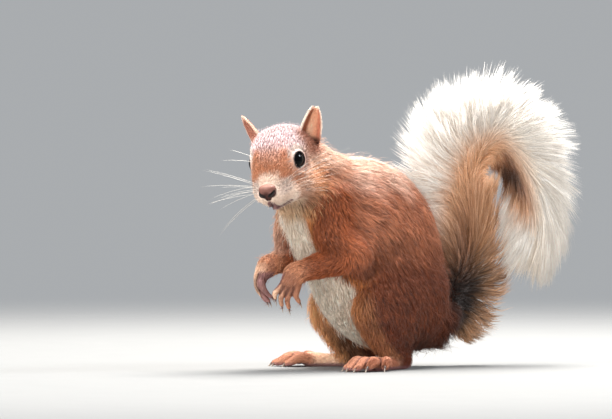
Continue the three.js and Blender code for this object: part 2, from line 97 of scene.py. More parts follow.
def fused(values: Sequence[Array], soft: float) -> Array:
    """Distance to shapes that run into each other with fillets about soft millimetres wide.

    Args:
        values: distances to the shapes
        soft: width of the fillets

    Returns:
        The distance to them all.
    """
    total = values[0]
    for value in values[1:]:
        total = np.minimum(total, value) - np.maximum(soft - np.abs(total - value), 0) ** 2 / soft * 0.25
    return total


def carved(value: Array, hollow: Array, soft: float) -> Array:
    """Distance to a shape out of which another is cut with a rounded edge."""
    return -fused([-value, hollow], soft)


def curve(a: Array, b: Array, c: Array, d: Array, t: Array | float) -> Array:
    """Places on the smooth curve through a, b, c and d, at a share t of the way from b to c."""
    return b + 0.5 * t * (c - a + t * (2 * a - 5 * b + 4 * c - d + t * (3 * (b - c) + d - a)))


def cells(points: Array, size: float) -> Array:
    """A number for each place, the same for those in one cube of that size."""
    return (np.floor(points / size).astype(np.int64) * CELL_HASH).sum(1)


def ripple(points: Array, size: float, seed: int) -> Array:
    """Soft noise from -1 to 1 that changes over about size millimetres.

    Args:
        points: places in the layout
        size: distance over which the noise changes
        seed: picks one pattern

    Returns:
        The noise at each place.
    """
    rng = np.random.default_rng(seed)
    total = np.zeros(len(points))
    for _ in range(7):
        way = unit(rng.normal(size=3)) * rng.uniform(0.7, 1.6) * math.tau / (size * 2.2)
        total += np.sin(points @ way + rng.uniform(0, math.tau))
    return total / 4.0


# ---- body plan
class Region(Enum):
    """Regions of the animal whose coat differs."""

    HEAD = 0
    NECK = 1
    TRUNK = 2
    ARM = 3
    THIGH = 4
    SHANK = 5
    HAND = 6
    FOOT = 7
    TAIL = 8
    EAR = 9


@dataclass(frozen=True)
class HeadFrame:
    """Where the head is: x forward to the nose tip at zero, y to the animal's left, z up."""

    nose: Row = (-87.0, -25.4, 102.3)
    turn: float = 41.0
    nod: float = 30.0
    tilt: float = 7.0

    @cached_property
    def matrix(self) -> Matrix:
        """From the head's frame to the layout.

        Returns:
            The transform.
        """
        turned = Matrix.Rotation(math.radians(180 + self.turn), 4, "Z")
        nodded = Matrix.Rotation(math.radians(self.nod), 4, "Y")
        tilted = Matrix.Rotation(math.radians(self.tilt), 4, "X")
        return Matrix.Translation(self.nose) @ turned @ nodded @ tilted

    @cached_property
    def axes(self) -> Array:
        """Rows are the head's x, y and z directions in the layout."""
        return np.array(self.matrix.to_3x3()).T

    def out(self, points: Sequence[float]) -> Array:
        """Points of the head's frame in the layout."""
        return np.asarray(points, float) @ self.axes + np.array(self.nose)

    def into(self, points: Array) -> Array:
        """Points of the layout in the head's frame."""
        return (points - np.array(self.nose)) @ self.axes.T


HEAD = HeadFrame()


@dataclass(frozen=True)
class Limb:
    """A limb as oval sections on a smooth line: x, y, z, half depth, half width, depth of the coat.

    Attributes:
        region: the region whose coat it wears
        rows: its sections, out to the tips of the coat
        side: direction of the half width
        lie: 1 where the hair runs along the rows, -1 where it runs back
        flow: a direction of the hair that doesn't follow the rows
        steps: straight steps from one section to the next
    """

    region: Region
    rows: tuple[Row, ...]
    side: Row = (0.0, 1.0, 0.0)
    lie: int = 1
    flow: Row | None = None
    steps: int = 4

    @cached_property
    def line(self) -> Array:
        """The sections with those between them, on a smooth curve.

        Returns:
            One row for each place on the line.
        """
        rows = np.array(self.rows, float)
        ends = np.vstack([rows[:1], rows, rows[-1:], rows[-1:]])
        out = []
        for i in range(len(rows) - 1):
            out += [curve(*ends[i : i + 4], k / self.steps) for k in range(self.steps)]
        return np.array([*out, rows[-1]])

    @cached_property
    def room(self) -> tuple[Array, Array]:
        """Corners of the box outside which the limb's distance doesn't matter."""
        margin = self.line[:, 3:5].max() + 12.0
        return self.line[:, :3].min(0) - margin, self.line[:, :3].max(0) + margin

    def measure(self, points: Array) -> tuple[Array, Array, Array]:
        """Distance to the limb's skin and what it is like at the nearest place.

        Args:
            points: places in the layout

        Returns:
            Distances, below zero inside; the direction of the hair; and the coat's depth.
        """
        best = np.full(len(points), FAR)
        way = np.zeros((len(points), 3))
        coat = np.zeros(len(points))
        low, high = self.room
        near = np.flatnonzero(((points > low) & (points < high)).all(1))
        if not len(near):
            return best, way, coat
        place = points[near]
        found, piece, share = np.full(len(near), FAR), np.zeros(len(near), int), np.zeros(len(near))
        side = np.array(self.side)
        for k, (a, b) in enumerate(zip(self.line[:-1], self.line[1:])):
            run = b[:3] - a[:3]
            offset = place - a[:3]
            t = np.clip(offset @ run / (run @ run), 0, 1)
            offset = offset - t[:, None] * run
            across = offset @ side
            reach = np.einsum("ij,ij->i", offset, offset)
            sizes = a[3:] + t[:, None] * (b[3:] - a[3:])
            deep, wide = np.maximum(sizes[:, :2].T - sizes[:, 2], 0.3)
            ratio = np.sqrt((reach - across**2) / deep**2 + (across / wide) ** 2) + 1e-9
            value = np.sqrt(reach) * (1 - 1 / ratio)
            closer = value < found
            found = np.where(closer, value, found)
            piece[closer], share[closer] = k, t[closer]
        best[near] = found
        runs = unit(np.diff(self.line[:, :3], axis=0)) * self.lie
        way[near] = unit(np.array(self.flow)) if self.flow else runs[piece]
        coat[near] = mix(self.line[piece, 5:], self.line[piece + 1, 5:], share)[:, 0]
        return best, way, coat

    def distance(self, points: Array) -> Array:
        """Distance to the limb's skin."""
        return self.measure(points)[0]

    def limbs(self) -> Iterator["Limb"]:
        """The limb itself, as flows list theirs."""
        yield self


@dataclass(frozen=True)
class Flow:
    """Limbs, and flows of limbs, that run into each other with soft fillets."""

    soft: float
    parts: tuple["Limb | Flow", ...]

    def distance(self, points: Array) -> Array:
        """Distance to the skin of the whole flow."""
        return fused([part.distance(points) for part in self.parts], self.soft)

    def limbs(self) -> Iterator[Limb]:
        """Every limb in the flow."""
        for part in self.parts:
            yield from part.limbs()


def in_head(rows: Sequence[Row], lie: int = 1) -> Limb:
    """A limb given in the head's frame."""
    moved = tuple((*HEAD.out(row[:3]), *row[3:]) for row in rows)
    return Limb(Region.HEAD, moved, side=tuple(HEAD.axes[1]), lie=lie)


@dataclass(frozen=True)
class EyePlan:
    """An eyeball, its lids and the hollow it sits in, in the head's frame."""

    place: Row = (-25.7, 10.3, 6.3)
    out: Row = (0.27, 0.93, 0.16)
    radius: float = 6.4
    opening: float = 4.5
    lid: float = 0.5
    slant: float = 24.0

    def centre(self, s: int) -> Array:
        """Middle of the eyeball in the layout."""
        return HEAD.out([self.place[0], -s * self.place[1], self.place[2]])

    def axes(self, s: int) -> Array:
        """Rows are the eye's line of sight, its long axis toward the nose and its upward axis.

        Args:
            s: -1 for the left, 1 for the right

        Returns:
            The three directions, in the layout.
        """
        sight = unit(np.array([self.out[0], -s * self.out[1], self.out[2]]))
        tilt = math.radians(self.slant)
        long = np.array([math.cos(tilt), 0.0, -math.sin(tilt)])
        long = unit(long - sight * (long @ sight))
        up = np.cross(long, sight) * -s
        return np.array([sight, long, up]) @ HEAD.axes

    def local(self, points: Array, s: int) -> Array:
        """Points in the eye's own axes."""
        return (points - self.centre(s)) @ self.axes(s).T

    def rim(self, local: Array) -> tuple[Array, Array]:
        """Distance from the middle line of the lids, and along the line of sight from it.

        Args:
            local: places in the eye's own axes

        Returns:
            Both distances.
        """
        radial = np.hypot(local[:, 1], local[:, 2])
        corner = np.clip(local[:, 1] / np.maximum(radial, 1e-6), 0, 1)
        wide = self.opening * (1.0 + 0.16 * corner**8)
        height = math.sqrt(self.radius**2 - self.opening**2) - 0.1
        return radial - wide, local[:, 0] - height

    def shape(self, points: Array, value: Array, s: int) -> Array:
        """The skin's distance with lids raised round the eyeball and the ball's room cut out.

        Args:
            points: places in the layout
            value: the skin's distance without the eye
            s: -1 for the left, 1 for the right

        Returns:
            The skin's distance with it.
        """
        local = self.local(points, s)
        ball = np.linalg.norm(local, axis=1) - self.radius
        near = ball < 6
        across, along = self.rim(local[near])
        lids = np.hypot(across, along * 0.8) - self.lid
        shell = np.maximum(ball[near] - 0.7, along)
        inner = fused([value[near], fused([lids, shell], 0.6)], 2.4)
        room = np.minimum(ball[near] - 0.03, np.maximum(across + self.lid, -along - 0.5))
        out = value.copy()
        out[near] = carved(inner, room, 0.25)
        return out


@dataclass(frozen=True)
class EarPlan:
    """A thin cupped leaf, open forward and outward, in the head's frame."""

    root: Row = (-42.5, 13.5, 3.0)
    tips: tuple[Row, Row] = ((-53.0, 22.0, 25.5), (-51.5, 24.0, 22.6))
    opens: Row = (0.76, 0.64, 0.0)
    width: float = 7.0
    brim: float = 0.5
    cup: float = 3.4
    thick: float = 1.15

    def axes(self, s: int) -> tuple[Array, Array]:
        """The root in the layout, and rows that run across, out of the opening and up to the tip.

        Args:
            s: -1 for the left, 1 for the right

        Returns:
            The root and the rows.
        """
        sign = np.array([1, -s, 1])
        up = (np.array(self.tips[s > 0]) - self.root) * sign
        across = unit(np.cross(up, np.array(self.opens) * sign))
        out = unit(np.cross(across, up))
        return HEAD.out(np.array(self.root) * sign), np.array([across, out, up]) @ HEAD.axes

    def sections(self, t: Array) -> tuple[Array, Array]:
        """Half width and depth of the cup at shares of the height.

        Args:
            t: shares of the height

        Returns:
            The half widths and the depths.
        """
        t = np.clip(t, 0, 1)
        wide = self.width * (1 - t) ** 0.8 * (0.76 + 1.25 * t) + self.brim
        return wide, self.cup * (1 - 0.75 * t)

    def limb(self, s: int, grow: float) -> Limb:
        """The cup's full round, grown or shrunk.

        Args:
            s: -1 for the left, 1 for the right
            grow: millimetres to grow by

        Returns:
            The cup as a limb.
        """
        root, axes = self.axes(s)
        rows = []
        for t in (-0.12, 0.05, 0.22, 0.4, 0.56, 0.7, 0.82, 0.91, 0.97, 1.0):
            wide, deep = self.sections(t)
            place = root + axes[2] * (t if grow >= 0 else t * 0.93)
            rows.append((*place, max(deep + grow, 0.05), max(wide + grow, 0.05), 0.0))
        return Limb(Region.EAR, tuple(rows), side=tuple(axes[0]), steps=2)

    def local(self, points: Array, s: int) -> Array:
        """Points as share of half width, millimetres out of the cup and share of the height.

        Args:
            points: places in the layout
            s: -1 for the left, 1 for the right

        Returns:
            A row of the three for each place.
        """
        root, axes = self.axes(s)
        height = (points - root) @ axes[2] / (axes[2] @ axes[2])
        offset = points - root - height[:, None] * axes[2]
        return np.stack([offset @ axes[0] / self.sections(height)[0], offset @ axes[1], height], 1)

    def distance(self, points: Array, s: int) -> Array:
        """Distance to the leaf.

        Args:
            points: places in the layout
            s: -1 for the left, 1 for the right

        Returns:
            The distances, below zero inside.
        """
        outer, inner = self.limb(s, self.thick / 2), self.limb(s, -self.thick / 2)
        out = outer.distance(points)
        near = out < 8
        if near.any():
            place = points[near]
            local = self.local(place, s)
            hollow = inner.distance(place)
            brim = local[:, 1] - 0.35 - 0.9 * np.clip(0.3 - local[:, 2], 0, 1)
            out[near] = -fused([-carved(out[near], hollow, 0.3), -brim], 0.7)
        return out


@dataclass(frozen=True)
class NosePlan:
    """The bare nose, with comma nostrils and the cleft below it, in the head's frame."""

    CLEFT = ((0.9, 0.2), (0.9, -1.6), (0.2, -3.6), (-1.4, -5.2))

    lobes: tuple[Row, ...] = (
        (-2.9, 0.0, 1.7, 3.2, 5.3, 2.9), (-1.2, 2.6, -0.6, 2.4, 2.5, 2.0), (-1.2, -2.6, -0.6, 2.4, 2.5, 2.0),
        (-1.0, 0.0, -2.8, 1.9, 2.0, 2.1),
    )
    nostril: tuple[Row, ...] = (
        (1.7, 1.1, -1.2, 0.9), (1.5, 2.3, -0.8, 1.0), (0.6, 3.7, 0.0, 0.75), (-1.0, 4.8, 1.0, 0.4),
    )

    def distance(self, points: Array) -> Array:
        """Distance to the pad.

        Args:
            points: places in the layout

        Returns:
            The distances, below zero inside.
        """
        head = HEAD.into(points)
        balls = []
        for *place, deep, wide, high in self.lobes:
            size = np.array([deep, wide, high])
            balls.append((np.linalg.norm((head - place) / size, axis=1) - 1) * size.min())
        pad = fused(balls, 1.3)
        for s in (-1, 1):
            pad = carved(pad, self.hole(s).distance(points), 0.4)
        cleft = in_head([(x, 0, z, 0.3, 0.3, 0) for x, z in self.CLEFT])
        return carved(pad, cleft.distance(points), 0.6)

    def hole(self, s: int) -> Limb:
        """One nostril."""
        return in_head([(x, y * s, z, r, r, 0) for x, y, z, r in self.nostril])


def mirrored(rows: Sequence[Row], s: int) -> tuple[Row, ...]:
    """Sections of the animal's left or right from those given for +Y."""
    return tuple((x, y * s, *rest) for x, y, *rest in rows)


@dataclass(frozen=True)
class DigitPlan:
    """Lines of the fingers or toes of one hand or foot, root, knuckle and tip, with their radii."""

    lines: tuple[tuple[Row, ...], ...]
    radii: Row
    region: Region

    def limbs(self) -> tuple[Limb, ...]:
        """One limb for each digit.

        Returns:
            The limbs.
        """
        return tuple(
            Limb(self.region, tuple((*p, r, r, 0.0) for p, r in zip(line, self.radii)), steps=3)
            for line in self.lines
        )


class BodyPlan:
    """The animal's limbs, and the shape of the skin under its coat."""

    NECK = ((-38, 0, 102, 22, 20, 4.2), (-50, 0, 114, 20, 18, 3.4), (-60, -2, 122, 17, 16, 2.4))
    TRUNK = (
        (-43, 0, 102, 20, 20.5, 4.2),
        (-27, 0, 90, 32.5, 26.5, 4.6),
        (-8, 0, 78, 44, 29.5, 5.0),
        (2, 0, 56, 43, 30, 5.2),
        (10, 0, 42, 35, 27.5, 5.4),
    )
    THIGH = ((15, 18, 43, 24, 14, 4.6), (3, 22, 40, 27, 15, 4.4), (-8, 24, 39, 19, 13, 4.0))
    SHANK = ((-10, 24, 30, 15, 11, 3.2), (-4, 22, 18, 12, 9, 2.2), (2, 20, 9, 8.5, 7.5, 1.4))
    UPPER_ARM = {
        "l": ((-38, -15, 95, 14, 11, 3.2), (-39, -19, 80, 13, 10, 2.8), (-28, -25, 66, 10, 9, 2.2)),
        "r": ((-38, 15, 95, 14, 11, 3.2), (-45, 17, 79, 13, 10, 2.8), (-41, 20, 64, 9.5, 9, 2.2)),
    }
    FOREARM = {
        "l": ((-28, -25, 66, 10, 9, 2.2), (-45, -17, 61, 8.2, 7.5, 1.7), (-59, -9.5, 56, 5.6, 5.6, 0.9)),
        "r": ((-41, 20, 64, 9.5, 9, 2.2), (-53, 16, 62.5, 7.6, 7, 1.7), (-65, 11, 60, 5.6, 5.4, 0.9)),
    }
    PALM = {
        "l": ((-59, -9.5, 56, 5.6, 5.6, 0.9), (-62, -9.5, 50.5, 4.6, 6.4, 0.6),
              (-63, -9.6, 46, 3.4, 6.4, 0.5)),
        "r": ((-65, 11, 60, 5.6, 5.4, 0.9), (-70, 10.5, 54.5, 4.4, 5.8, 0.6), (-71.5, 10, 49, 3.4, 5.8, 0.5)),
    }
    KNUCKLES = {"l": (0.84, -0.5, 0.0), "r": (0.35, 0.93, 0.0)}
    FINGERTIPS = {
        "l": ((-70.5, -6.5, 42), (-67, -8, 38), (-63.5, -10, 36.5), (-58.5, -13, 40)),
        "r": ((-67, 5, 42.5), (-67, 7.5, 40), (-67, 10.5, 40), (-67, 14, 42.5)),
    }
    FINGER_SPREAD = 3.1
    HEEL = (7.0, 20.0)
    TURN_OUT = 30.0
    SOLE = ((0, 0, 4.2, 5.4, 5.6, 0.8), (17, 0, 3.2, 4, 5.8, 0.6), (34, 0, 3.8, 4.8, 8.5, 0.5))
    TOES = (((34, -6.5), (47, -11)), ((37, -4), (53, -5.5)), ((38, 0), (54.5, 0)), ((37, 4), (52, 6)),
            ((31, 7), (41.5, 11.5)))
    SKULL = (
        (-2.6, 0, -0.6, 3.6, 4, 0.4),
        (-9, 0, -1, 6.6, 6.4, 0.6),
        (-17, 0, 0.6, 10.6, 10, 0.9),
        (-26, 0, 3, 15.2, 16.2, 1.3),
        (-35, 0, 3.6, 17, 17.4, 1.8),
        (-43, 0, 2, 15, 14.5, 2.2),
    )
    CHEEK = ((-17, 7, -6.5, 8.5, 8, 1.0), (-29, 10, -8.5, 11.5, 9, 1.8))
    JAW = ((-7.5, 0, -11, 3.8, 3.9, 0.6), (-16, 0, -12, 5, 5.6, 0.9), (-28, 0, -11.5, 6.5, 8, 1.6))
    LIP = ((-5.5, 3.6, -4.4, 4.5, 3.8, 0.4), (-12.5, 6.5, -5.2, 5.6, 4.9, 0.6))
    TAIL_CORE = (
        (40, 0, 27, 7, 7, 0), (47.5, 0, 26, 7, 6.5, 0), (54.2, 0, 43.8, 6, 5.5, 0),
        (56.9, 0, 66.9, 5.2, 5, 0), (58.3, 0, 90.1, 4.8, 4.6, 0), (62.3, 0, 110.3, 4.4, 4.2, 0),
        (70.3, 0, 125.8, 4, 3.9, 0), (81.7, 0, 131.3, 3.7, 3.6, 0), (91.7, -1, 124, 3.4, 3.3, 0),
        (98.4, -3, 109.3, 3, 3, 0), (103.1, -4, 91.8, 2.5, 2.5, 0), (106.5, -5, 74.3, 1.6, 1.6, 0),
    )
    THIGH_FLOW = (0.42, 0.0, -1.0)
    RUMP = ((26, 0, 35, 19, 17, 5.2), (44, 0, 26, 11, 10.5, 4.8))
    RUMP_FLOW = (0.75, 0.0, -0.66)
    TEMPLE = ((-29, 7.5, 8.5, 8, 8, 1.3), (-38, 8.5, 9.5, 8.5, 8, 1.8))
    MOUTH = ((-2.1, 0.0, -7.3), (-3.9, 0.5, -10.1), (-4.8, 1.5, -11.7), (-6.6, 2.7, -12.3),
             (-9.2, 4.2, -12.4), (-9.8, 6.2, -11.6), (-9.6, 8.0, -10.3))

    def __init__(self) -> None:
        """Joins the limbs into the whole animal."""
        self.eye, self.ear, self.nose = EyePlan(), EarPlan(), NosePlan()
        skull = Flow(5.0, (
            in_head(self.SKULL),
            Flow(3.0, tuple(in_head(mirrored(self.CHEEK, s)) for s in (-1, 1))),
            *(in_head(mirrored(self.TEMPLE, s)) for s in (-1, 1)),
            in_head(self.JAW),
            *(in_head(mirrored(self.LIP, s)) for s in (-1, 1)),
        ))
        trunk = Limb(Region.TRUNK, self.TRUNK)
        neck = Limb(Region.NECK, self.NECK, lie=-1)
        axis = Flow(9.0, (skull, Flow(9.0, (neck, trunk))))
        self.digits = {**self.fingers(), **self.toes()}
        arms = [Flow(4.0, (
            Limb(Region.ARM, self.UPPER_ARM[tag]),
            Limb(Region.ARM, self.FOREARM[tag]),
            Flow(1.6, (
                Limb(Region.HAND, self.PALM[tag], side=self.KNUCKLES[tag]),
                Flow(0.5, self.digits[f"hand_{tag}"].limbs()),
            )),
        )) for tag in SIDES]
        legs = [Flow(8.0, (
            Limb(Region.THIGH, mirrored(self.THIGH, s), flow=self.THIGH_FLOW),
            Limb(Region.SHANK, mirrored(self.SHANK, s)),
        )) for s in SIDES.values()]
        feet = [Flow(1.8, (self.sole(s), Flow(0.5, self.digits[f"foot_{tag}"].limbs())))
                for tag, s in SIDES.items()]
        tail = Limb(Region.TAIL, self.TAIL_CORE)
        rump = Limb(Region.TRUNK, self.RUMP, flow=self.RUMP_FLOW)
        self.whole = Flow(4.6, (Flow(6.0, (axis, *legs, rump, tail)), *arms, *feet))
        self.all_limbs = list(self.whole.limbs())
        self.skull = skull

    def along_foot(self, s: int) -> tuple[Array, Array]:
        """Directions along a foot and outward across it.

        Args:
            s: -1 for the left, 1 for the right

        Returns:
            Both directions.
        """
        turn = math.radians(self.TURN_OUT)
        along = np.array([-math.cos(turn), s * math.sin(turn), 0.0])
        return along, np.array([math.sin(turn), s * math.cos(turn), 0.0])

    def foot_point(self, s: int, along: float, out: float, z: float) -> Array:
        """A place on a foot, measured from its heel."""
        forward, aside = self.along_foot(s)
        return np.array([self.HEEL[0], s * self.HEEL[1], z]) + along * forward + out * aside

    def sole(self, s: int) -> Limb:
        """The foot from heel to ball."""
        rows = tuple((*self.foot_point(s, a, o, z), *rest) for a, o, z, *rest in self.SOLE)
        return Limb(Region.FOOT, rows, side=tuple(self.along_foot(s)[1]))

    def toes(self) -> dict[str, DigitPlan]:
        """The toes of both feet, each root, knuckle, end joint and tip.

        Returns:
            A plan for each foot, by its name.
        """
        plans = {}
        for tag, s in SIDES.items():
            lines = []
            for root, tip in self.TOES:
                start, end = self.foot_point(s, *root, 4.4), self.foot_point(s, *tip, 2.2)
                knuckle = start + (end - start) * 0.42
                joint = start + (end - start) * 0.8
                knuckle[2], joint[2] = 5.6, 3.1
                lines.append((tuple(start), tuple(knuckle), tuple(joint), tuple(end)))
            plans[f"foot_{tag}"] = DigitPlan(tuple(lines), (2.9, 3.1, 2.2, 1.7), Region.FOOT)
        return plans

    def fingers(self) -> dict[str, DigitPlan]:
        """The fingers of both hands, each root, knuckle and tip.

        Returns:
            A plan for each hand, by its name.
        """
        plans = {}
        for tag in SIDES:
            across = np.array(self.KNUCKLES[tag])
            middle = np.array(self.PALM[tag][2][:3])
            lines = []
            for n, tip in enumerate(self.FINGERTIPS[tag]):
                start = middle + across * self.FINGER_SPREAD * (n - 1.5) + np.array([0, 0, 2.0])
                end = np.array(tip, float)
                bow = start + (end - start) * 0.55 + np.array([-1.6, 0, 0.4])
                last = start + (end - start) * 0.85 + np.array([-0.9, 0, 0.1])
                lines.append((tuple(start), tuple(bow), tuple(last), tuple(end)))
            plans[f"hand_{tag}"] = DigitPlan(tuple(lines), (1.8, 1.65, 1.25, 1.15), Region.HAND)
        return plans

    def lips(self, s: int, radius: float) -> Limb:
        """The line between the lips on one side, as thick as twice the radius."""
        sizes = np.linspace(1.0, 0.6, len(self.MOUTH)) * radius
        return in_head([(x, -s * y, z, r, r, 0.0) for (x, y, z), r in zip(self.MOUTH, sizes)])

    def skin(self, points: Array) -> Array:
        """Distance to the skin, with lids, mouth, nostrils and ears.

        Args:
            points: places in the layout

        Returns:
            The distances, below zero inside.
        """
        value = self.whole.distance(points)
        in_face = np.flatnonzero(np.linalg.norm(points - HEAD.out([-22, 0, 4]), axis=1) < 46)
        if len(in_face):
            place, face = points[in_face], value[in_face]
            for s in SIDES.values():
                face = self.eye.shape(place, face, s)
                face = carved(face, self.lips(s, 0.5).distance(place), 0.5)
                face = fused([face, self.ear.distance(place, s)], 1.6)
            value[in_face] = carved(face, self.nose.distance(place) - 0.05, 0.3)
        return np.maximum(value, 0.02 - points[:, 2])

    def at(self, points: Array) -> tuple[Array, Array, Array]:
        """What the body is like at places on its skin.

        Args:
            points: places in the layout

        Returns:
            The nearest region, the direction of the hair and the depth of the coat.
        """
        rows = [limb.measure(points) for limb in self.all_limbs]
        gap = np.array([row[0] for row in rows])
        nearest = gap.argmin(0)
        region = np.array([limb.region.value for limb in self.all_limbs])[nearest]
        weight = np.exp(-np.clip(gap - gap.min(0), 0, 12) / 2.2)
        weight /= weight.sum(0)
        way = unit(sum(w[:, None] * row[1] for w, row in zip(weight, rows)))
        coat = sum(w * row[2] for w, row in zip(weight, rows))
        for s in SIDES.values():
            ear = self.ear.distance(points, s) < np.minimum(gap.min(0), 1.0)
            region[ear] = Region.EAR.value
            way[ear] = unit(self.ear.axes(s)[1][2])
            coat[ear] = 0.4
        return region, way, coat


# ---- markings
@dataclass(frozen=True)
class Palette:
    """Colours of the coat and of the bare skin, as display values."""

    russet: Row = (200, 126, 88)
    # pale top of the back: partly the coat's own paler colour, partly a painted highlight of light from above
    # and behind
    ridge: Row = (250, 210, 188)
    # dark brown of the hindquarters, lower legs and heels; low on the rear flank it is partly painted shade
    haunch_and_shade: Row = (121, 54, 22)
    # dark brown laid only as painted shade: low on the rear, in the grooves at the thighs and between the
    # legs
    under: Row = (86, 40, 18)
    shoulder: Row = (190, 98, 46)
    arm: Row = (168, 90, 50)
    # front of the legs: their own orange, painted brighter as rim light, mostly on the animal's right
    lit_shin: Row = (255, 186, 128)
    wrist: Row = (220, 154, 116)
    white: Row = (252, 236, 217)
    border: Row = (212, 130, 66)
    nape: Row = (222, 156, 118)
    ruff: Row = (240, 208, 186)
    temple: Row = (158, 114, 92)
    cheek: Row = (214, 168, 140)
    jaw_side: Row = (232, 162, 112)
    band: Row = (200, 130, 90)
    crown: Row = (191, 163, 163)
    muzzle: Row = (242, 216, 196)
    ring: Row = (248, 228, 214)
    whisker_pad: Row = (212, 188, 174)
    lid: Row = (46, 28, 24)
    fold: Row = (176, 130, 118)
    lip: Row = (138, 100, 98)
    mouth: Row = (62, 34, 36)
    # painted shade in the gaps between fingers and toes
    crevice_shade: Row = (104, 60, 48)
    chin: Row = (246, 226, 208)
    throat: Row = (230, 182, 134)
    freckle: Row = (96, 66, 58)
    # inside of the lit ear, painted bright as if light shone through it
    ear_inside: Row = (255, 188, 150)
    ear_glow: Row = (255, 210, 176)
    ear_red: Row = (204, 108, 78)
    ear_shade: Row = (190, 126, 104)
    ear_front: Row = (158, 88, 54)
    ear_back: Row = (186, 120, 88)
    ear_rim: Row = (250, 226, 206)
    ear_notch: Row = (84, 48, 40)
    hand: Row = (190, 130, 100)
    # pale buff of the feet and the ends of the hands; on the top of the feet it is partly a painted highlight
    foot: Row = (255, 214, 182)
    toe: Row = (188, 120, 88)
    pad: Row = (158, 110, 112)
    tail_white: Row = (250, 243, 234)
    tail_tan: Row = (234, 184, 144)
    tail_fringe: Row = (200, 148, 106)
    tail_brown: Row = (140, 88, 58)
    tail_dark: Row = (38, 21, 14)
    pupil: Row = (3, 3, 4)
    iris: Row = (20, 12, 10)
    nose_side: Row = (142, 96, 84)
    nose_low: Row = (72, 38, 32)
    nose_top: Row = (198, 150, 132)
    # near-black nostrils: painted shade inside the holes
    nostril: Row = (22, 10, 8)
    claw_root: Row = (70, 50, 44)
    claw_tip: Row = (196, 176, 158)
    whisker: Row = (250, 244, 232)

    def __getitem__(self, name: str) -> Array:
        """A colour in linear light."""
        return linear(*getattr(self, name))


PALETTE = Palette()


class Paint:
    """Colours laid over one another at a set of places."""

    def __init__(self, ground: str, count: int) -> None:
        """Starts with one colour at every place."""
        self.colours = np.broadcast_to(PALETTE[ground], (count, 3)).copy()

    def lay(self, name: str, share: Array) -> None:
        """Blends a colour in, by a share for each place."""
        self.colours = mix(self.colours, PALETTE[name], share)


